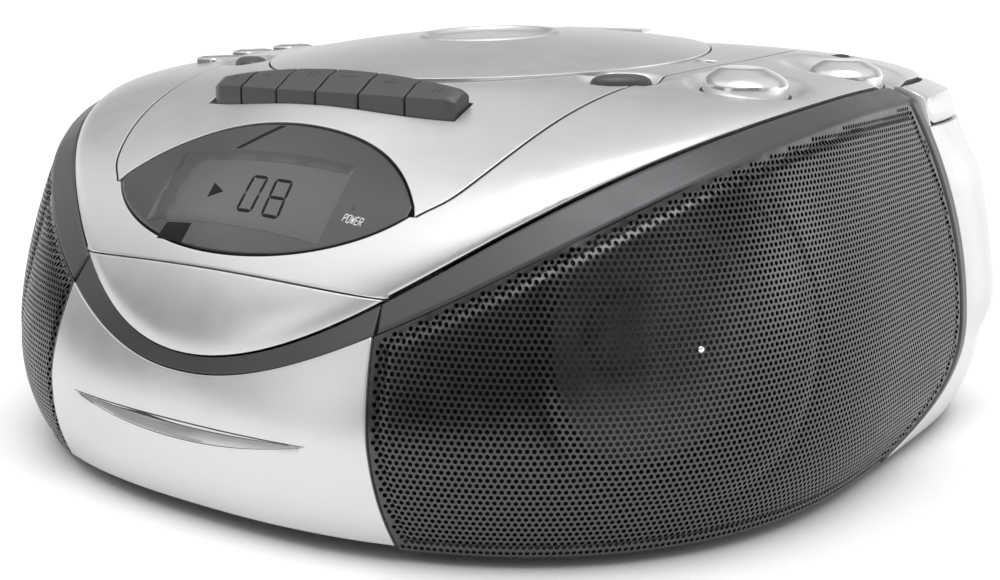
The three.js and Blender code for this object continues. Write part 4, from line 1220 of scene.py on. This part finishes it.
shoulder_from = float(heading_at_y(rear_edge_y(np.array(LEDGE_Z)) + STRIP_WIDTH + 1.0, LEDGE_Z))
shoulder_to = float(heading_at_y(HANDLE_PIVOT[0] - HANDLE_PIVOT[2] - 0.5, HANDLE_PIVOT[1]))
shoulder = loft([shoulder_section(p) for p in np.linspace(shoulder_from, shoulder_to, 10)])
piece("handle_shoulders", joined(shoulder, flipped(shoulder)), SILVER, slot="silver_shell")

handle = loft([handle_section(p) for p in handle_headings()])
piece("carry_handle_grip", handle, SILVER, ["carry_handle"])

# ---------------------------------------------------------------- piano keys
PIVOT_TOP = 119.0


def key_levels(x):
    """Heights of the front and the rear of the keys' tops; they rise towards the middle of the bank."""
    share = (x / BANK_HALF) ** 2
    return 113.4 - 0.5 * share, PIVOT_TOP - 4.2 * share


def key_section(x):
    """Side view of a key at one place across the bank."""
    front = bank_front(x)
    front_top, rear_top = key_levels(x)
    side = [(front + 0.9, 100), (front, 104), (front, front_top - 1.1), (front + 0.25, front_top - 0.35),
            (front + 0.9, front_top + 0.25), (front + 2.2, front_top + 0.95),
            ((front + KEY_REAR) / 2 + 0.4, (front_top + rear_top) / 2 + 1.0),
            (KEY_REAR - 1.2, rear_top - 0.1), (KEY_REAR - 0.2, rear_top - 0.8), (KEY_REAR, 104),
            (KEY_REAR - 1, 100)]
    return np.array([(x, y, z) for y, z in side])


def key_part(node):
    """One key; the outer ends of the first and the last key are drawn back and down."""
    low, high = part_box(node)
    left, right = low.x / MM + 0.12, high.x / MM - 0.12
    points, faces = loft([key_section(x) for x in np.linspace(left, right, 16)])
    if node in (KEYS[0], KEYS[-1]):
        end, reach, back = (left, 5.5, 3.4) if node == KEYS[0] else (right, 2.6, 1.2)
        far = np.clip(1 - np.abs(points[:, 0] - end) / reach, 0, 1)
        share = np.clip((KEY_REAR - points[:, 1]) / (KEY_REAR - KEY_FRONT), 0, 1)
        points[:, 1] += far ** 2.2 * back * share
        points[:, 2] -= far ** 2 * 0.9 * (points[:, 2] > 112)
    return points, faces


def arrow(x, y, way=1):
    """A small triangle that points along X."""
    return np.array([(x - way * 1.2, y - 1.3), (x + way * 1.2, y), (x - way * 1.2, y + 1.3)])


def block(x, y, half):
    return np.array([(x - half, y - 1.3), (x + half, y - 1.3), (x + half, y + 1.3), (x - half, y + 1.3)])


def key_symbol(kind, x, y):
    """Raised transport symbols on the key tops, as flat outlines in plan."""
    shapes = {
        "record": [oval((x, y), (1.4, 1.4), n=20)],
        "play": [arrow(x, y)],
        "rewind": [arrow(x - 1.3, y, -1), arrow(x + 1.3, y, -1)],
        "forward": [arrow(x - 1.3, y), arrow(x + 1.3, y)],
        "stop": [block(x - 1.5, y, 1.1), arrow(x + 1.7, y)],
        "pause": [block(x - 0.9, y, 0.45), block(x + 0.9, y, 0.45)],
    }
    return shapes[kind]


def key_top(points):
    """The keys' top faces over a place in plan."""
    front = bank_front(points[:, 0])
    front_top, rear_top = key_levels(points[:, 0])
    mid = (front + KEY_REAR) / 2 + 0.4
    a = np.stack([front + 2.2, front_top + 0.95], 1)
    b = np.stack([mid, (front_top + rear_top) / 2 + 1.0], 1)
    c = np.stack([np.full(len(mid), KEY_REAR - 1.2), rear_top - 0.1], 1)
    y = points[:, 1]
    t1, t2 = (y - a[:, 0]) / (b[:, 0] - a[:, 0]), (y - b[:, 0]) / (c[:, 0] - b[:, 0])
    z = np.where(y < b[:, 0], a[:, 1] + (b[:, 1] - a[:, 1]) * t1, b[:, 1] + (c[:, 1] - b[:, 1]) * t2)
    return np.stack([points[:, 0], y, z], 1)


SYMBOL_Y = -74.6
for node in KEYS:
    obj = piece(f"{node}_cap", key_part(node), KEY_GREY, [node], crease=24)
    bevelled(obj, 0.35)
    symbol = key_symbol(node.split("_")[0], middle(node)[0], SYMBOL_Y)
    marks = [sheet(key_top, densify(s, 0.8), pitch=1.0, lip=0.05, depth=0.3, lift=0.12) for s in symbol]
    piece(f"{node}_symbol", joined(*marks), KEY_GREY, body=BODY_OF[node], slot="graphite")

# ---------------------------------------------------------------- CD lid, well and player
RIM_TOP, CROWN_TOP = 0.08, 6.7


def lid_crown(r):
    return RIM_TOP + (CROWN_TOP - RIM_TOP) * (1 - (r / LID_RADIUS) ** 2)


lid_skirt = rounded([(0, 0.15), (72.4, 0.15), (72.6, -1.3), (LID_RADIUS, -1.3), (LID_RADIUS, RIM_TOP),
                     (LID_RADIUS - 1.5, lid_crown(LID_RADIUS - 1.5))], 0.15)[:-1]
crown = [(r, lid_crown(r)) for r in (LID_RADIUS - 2, 70, 66, 62, 54, 46, 38, 31, 26, 24.2)]
hub_z = crown[-1][1]
DIMPLE = ((23.6, 0.45), (22.8, 0.75), (21.8, 0.6), (21.0, -0.1), (20, -0.6), (17, -0.8), (12, -0.7),
          (6, -0.6), (0, -0.55))
dimple = [(radius, hub_z + up) for radius, up in DIMPLE]
lid_disc = lathe(np.vstack([lid_skirt, crown, dimple]), 192)
hinge_side = ((71, 0.3), (77.6, 0.3), (77.6, 0.9), (76.8, 1.3), (71, 1.3))
lid_ears = loft([np.array([(x, y, z) for y, z in hinge_side]) for x in (-19, 19)])
piece("cd_lid_skin", joined(lid_disc, lid_ears), SILVER, ["cd_lid"], place=DECK_PLACE)
catch_outline = oval((79.4, 11), (3.9, 1.3), math.radians(4), 40)
catch = sheet(top_chart, catch_outline, pitch=1.5, lip=0.4, depth=0.8, lift=0.7)
piece("lid_catch", catch, KNOB_SILVER, slot="silver_knob")
clamp = lathe(rounded([(0, -3.4), (12.6, -3.4), (15, -1.8), (15, 0.8), (0, 0.8)], 0.6), 64)
piece("disc_clamp_hub", clamp, BLACK, ["disc_clamp"], place=DECK_PLACE)
hub = lathe(rounded([(0, -20), (1.6, -20), (1.6, -13.6), (16, -13.6), (16, -10.8), (10, -10.4), (7.5, -10.4),
                     (7.3, -7.6), (4.2, -6.7), (0, -6.7)], 0.5), 72)
piece("turntable_hub", hub, BLACK, ["turntable"], place=DECK_PLACE)

# ---------------------------------------------------------------- knobs and buttons
def leaning_knob(radius, low, high, lean, segments=96):
    """A turned knob whose flat top is smaller, off to one side and a little tilted."""
    profile = rounded([(0, low), (radius, low), (radius, high - 4.6), (radius * 0.9, high - 2.4),
                       (radius * 0.52, high), (0, high)], 1.3, 5)
    points, faces = lathe(profile, segments)
    share = np.clip((points[:, 2] - (high - 4.6)) / 4.6, 0, 1)
    points[:, 0] += share * lean[0]
    points[:, 1] += share * lean[1]
    points[:, 2] += share * (points[:, 0] * lean[0] + points[:, 1] * lean[1]) * 0.012
    return points, faces


for node, spot, radius, lean, proud in (("volume_knob", VOLUME, VOLUME_R, (-2.2, 1.8), 4.4),
                                        ("tuning_knob", TUNING, TUNING_R, (-1.2, 1.2), 2.4)):
    level = float(top_chart(spot[None])[0, 2])
    knob = moved(leaning_knob(radius, level - 8, level + proud, lean), (*spot, 0))
    piece(f"{node}_cap", knob, KNOB_SILVER, [node])


def oval_cap(centre, size, turn, low, high, crown, rows=7):
    """A domed oval button."""
    rings = []
    for k in range(rows + 1):
        a = k / rows * math.pi / 2 * 0.93
        loop = oval((0, 0), (size[0] * math.cos(a) ** 0.6, size[1] * math.cos(a) ** 0.6), 0, 48)
        rings.append(np.column_stack([loop, np.full(48, high + crown * math.sin(a))]))
    rings.insert(0, np.column_stack([oval((0, 0), size, 0, 48), np.full(48, low)]))
    points, faces = loft(rings)
    c, s = math.cos(turn), math.sin(turn)
    spun = points @ np.array([[c, s, 0], [-s, c, 0], [0, 0, 1]])
    return spun + np.array([centre[0], centre[1], 0]), faces


for side, (centre, size, turn) in OVALS.items():
    level = float(top_chart(np.array(centre)[None])[0, 2])
    cap = oval_cap(centre, size, turn, level - 8, level - 1.5, 2.7)
    piece(f"{side}_oval_cap", cap, KEY_GREY, [f"{side}_oval_button"], crease=50)


def soft_block(centre, size, corner, low, high, crown):
    """A rounded rectangular button with a softly domed top."""
    rings = []
    for z, shrink in ((low, 0), (high - 0.8, 0), (high - 0.3, 0.12), (high, 0.5), (high + crown * 0.6, 1.6),
                      (high + crown, 3.2)):
        smaller = (size[0] - 2 * shrink, size[1] - 2 * shrink)
        loop = round_rect(centre, smaller, max(0.4, corner - shrink * 0.5))
        rings.append(np.column_stack([loop, np.full(len(loop), z)]))
    return loft(rings)


for node in CD_BUTTONS:
    centre = middle(node)[:2]
    level = float(top_chart(centre[None])[0, 2])
    cap = soft_block(centre, (10.0, 15.0), 2.0, level - 7, level + 1.0, 0.7)
    piece(f"{node}_cap", cap, KNOB_SILVER, [node], slot="silver_knob", crease=50)

switch_mid = middle("band_switch")
switch_level = float(top_chart(SWITCH[None])[0, 2])
slider = soft_block(switch_mid[:2], (4.8, 6.0), 1.0, switch_level - 6, switch_level + 0.5, 0.3)
piece("band_switch_cap", slider, BLACK, ["band_switch"], crease=50)
tray_outline = round_rect(SWITCH, (7.4, 18.4), 2.4)
tray = sheet(lambda p: top_chart(p) - np.array([0, 0, 2.6]), tray_outline, pitch=2.5, lip=0.2, depth=0.8)
piece("band_switch_tray", tray, BLACK, slot="black_plastic")

# Painted shade: flat black ovals on the top stand in for two hollows that fall into shade.
hollows = [oval((75, 91), (9, 3.6), math.radians(-12), 40), oval((50, 103), (5, 2), math.radians(-4), 32)]
hollow_shadow_parts = [sheet(top_chart, h, pitch=2, lip=0.1, depth=0.3, lift=0.1) for h in hollows]
piece("rear_hollow_shadows", joined(*hollow_shadow_parts), BLACK, slot="black_plastic")

# ---------------------------------------------------------------- feet, aerial, speakers
FOOT_PROFILE = rounded([(0, -FOOT_HEIGHT), (8.4, -FOOT_HEIGHT), (9.6, -FOOT_HEIGHT + 1), (9.6, -0.3),
                        (0, -0.3)], 0.5)
for node in sorted(n for n in frame["nodes"] if n.startswith("foot_")):
    x, y, _ = middle(node)
    piece(f"{node}_pad", moved(lathe(FOOT_PROFILE, 64), (x, y, 0)), RUBBER, [node])


def turned_along(node, axis, steps):
    """A round bar with stepped radii along X or Y; steps are (share of the length, radius)."""
    low, high = (np.array(p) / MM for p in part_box(node))
    k = "xy".index(axis)
    length, mid = high[k] - low[k], (low + high) / 2 - np.array([0, CENTRE_Y, FOOT_HEIGHT])
    profile = [(0, -length / 2)] + [(r, (t - 0.5) * length) for t, r in steps] + [(0, length / 2)]
    points, faces = lathe(rounded(profile, 0.35), 48)
    degrees, about = {"x": (90, "Y"), "y": (-90, "X")}[axis]
    turn = Matrix.Rotation(math.radians(degrees), 3, about)
    return points @ np.array(turn).T + mid, faces


ROD_LENGTH = (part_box("aerial_rod")[1].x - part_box("aerial_rod")[0].x) / MM
tip_share = 7 / ROD_LENGTH
AERIAL = (
    ("aerial_post", "pin", "y", [(0, 4), (0.8, 4), (0.84, 3.4), (0.9, 4), (1, 4)]),
    ("aerial_sleeve", "tube", "x", [(0, 3.2), (0.02, 3.2), (0.03, 3.0), (0.97, 3.0), (0.98, 3.2), (1, 3.2)]),
    ("aerial_rod", "tip", "x",
     [(0, 2.6), (0.015, 3.2), (tip_share - 0.01, 3.2), (tip_share, 2.0), (1, 1.9)]),
)
for node, suffix, axis, steps in AERIAL:
    piece(f"{node}_{suffix}", turned_along(node, axis, steps), CHROME, [node])


CONE_HEADING, CONE_OUT, CONE_Z = math.radians(55), 131.0, 52.0
cone_spot = (CONE_OUT * math.sin(CONE_HEADING), -CONE_OUT * math.cos(CONE_HEADING), CONE_Z)
cone_place = BODY_PLACE @ Matrix.Translation(cone_spot) @ Matrix.Rotation(CONE_HEADING, 4, "Z") @ FACE_OUT
cone = lathe(rounded([(0, -16), (12, -16), (34.4, -1.6), (34.4, 0.4), (32.6, 2.2), (30.4, 1.9), (29, -0.6),
                      (12.5, -11.5), (12, -9.4), (9, -6.6), (5, -5.0), (0, -4.4)], 1.2, 5), 96)
pair("cone_skin", cone, CONE, "speaker_cone", place=cone_place, crease=50)

# ---------------------------------------------------------------- camera, floor and light
FOCAL_SHARE = 1.44026
CAMERA_SPOT = Vector((0.28572, -0.39123, 0.15187))
CAMERA_TURN, CAMERA_RISE = 0.6077, 0.2205
FILM_WIDTH = 36
back = Vector((math.sin(CAMERA_TURN) * math.cos(CAMERA_RISE), -math.cos(CAMERA_TURN) * math.cos(CAMERA_RISE),
               math.sin(CAMERA_RISE)))
camera = bpy.data.objects.new("camera", bpy.data.cameras.new("camera"))
camera.data.sensor_width = FILM_WIDTH
camera.data.lens = FILM_WIDTH * FOCAL_SHARE
camera.data.clip_start = 0.01
right = Vector((math.cos(CAMERA_TURN), math.sin(CAMERA_TURN), 0))
up = back.cross(right)
camera.matrix_world = Matrix.Translation(CAMERA_SPOT) @ Matrix((right, up, back)).transposed().to_4x4()
bpy.context.scene.collection.objects.link(camera)
bpy.context.scene.camera = camera


def area_light(name, spot, target, size, power):
    data = bpy.data.lights.new(name, "AREA")
    data.shape = "RECTANGLE"
    data.size, data.size_y = size
    data.energy = power
    light = bpy.data.objects.new(name, data)
    light.location = spot
    light.rotation_mode = "QUATERNION"
    light.rotation_quaternion = (Vector(spot) - Vector(target)).to_track_quat("Z", "Y")
    bpy.context.scene.collection.objects.link(light)


area_light("front_soft", (-0.5, -1.5, 0.45), (0, 0, 0.06), (0.5, 0.7), 1.25)
area_light("left_soft", (-1.2, -0.2, 0.5), (0, 0, 0.05), (0.5, 0.55), 0.5)
area_light("right_soft", (1.25, 0.7, 0.3), (0.1, 0, 0.05), (0.5, 0.55), 0.8)
area_light("fill_soft", (1.3, -0.35, 0.5), (0.1, -0.05, 0.05), (0.5, 0.55), 0.5)
area_light("rear_soft", (0.2, 1.6, 0.7), (0, 0, 0.1), (1.2, 0.4), 0.5)

sun = bpy.data.objects.new("overhead_sun", bpy.data.lights.new("overhead_sun", "SUN"))
sun.data.energy = 1.6
sun.data.angle = math.radians(50)
sun.rotation_euler = (math.radians(12), math.radians(8), 0)
bpy.context.scene.collection.objects.link(sun)


# Brightness at places from the horizon (0) up to overhead (1).
FRONT_SKY = ((0, 0.05), (0.2, 0.06), (0.3, 0.1), (0.52, 0.14), (0.66, 0.5), (1, 0.5))
BACK_SKY = ((0, 0.74), (0.2, 0.74), (0.28, 0.22), (0.52, 0.24), (0.68, 0.5), (1, 0.5))


def sky(tree, place, levels, left, right):
    """A background that changes with height, and from left to right."""
    rise = ramp(tree, place.outputs["Z"], [(spot, (level,) * 3) for spot, level in levels])
    background = shader_node(tree, "Background")
    tree.links.new(rise, background.inputs["Color"])
    tree.links.new(remap(tree, place.outputs["X"], (-0.5, 0.5), left, right), background.inputs["Strength"])
    return background.outputs["Background"]


def studio_world():
    """A studio with a bright low wall behind the object, a dim front and soft light overhead."""
    world = bpy.data.worlds.new("studio")
    world.use_nodes = True
    tree = world.node_tree
    place = shader_node(tree, "SeparateXYZ")
    tree.links.new(shader_node(tree, "TexCoord").outputs["Generated"], place.inputs["Vector"])
    mix = shader_node(tree, "MixShader")
    tree.links.new(remap(tree, place.outputs["Y"], (-0.12, 0.12), 0.0, 1.0), mix.inputs["Fac"])
    tree.links.new(sky(tree, place, FRONT_SKY, 2.6, 2.3), mix.inputs[1])
    tree.links.new(sky(tree, place, BACK_SKY, 1.4, 2.2), mix.inputs[2])
    tree.links.new(mix.outputs["Shader"], tree.nodes["World Output"].inputs["Surface"])
    return world


bpy.context.scene.world = studio_world()
bpy.context.scene.view_settings.view_transform = "Standard"

FLOOR_HALF = 12.0
floor_mesh = bpy.data.meshes.new("floor")
corners = [(x * FLOOR_HALF, y * FLOOR_HALF, 0) for x, y in ((-1, -1), (1, -1), (1, 1), (-1, 1))]
floor_mesh.from_pydata(corners, [], [(0, 1, 2, 3)])
floor = bpy.data.objects.new("floor", floor_mesh)
floor_mesh.materials.append(grained("pale_floor", (0.93, 0.93, 0.93), 0.6, vary=0.01, spread=0.05, grain=60,
                                    strength=0.02))
bpy.context.scene.collection.objects.link(floor)
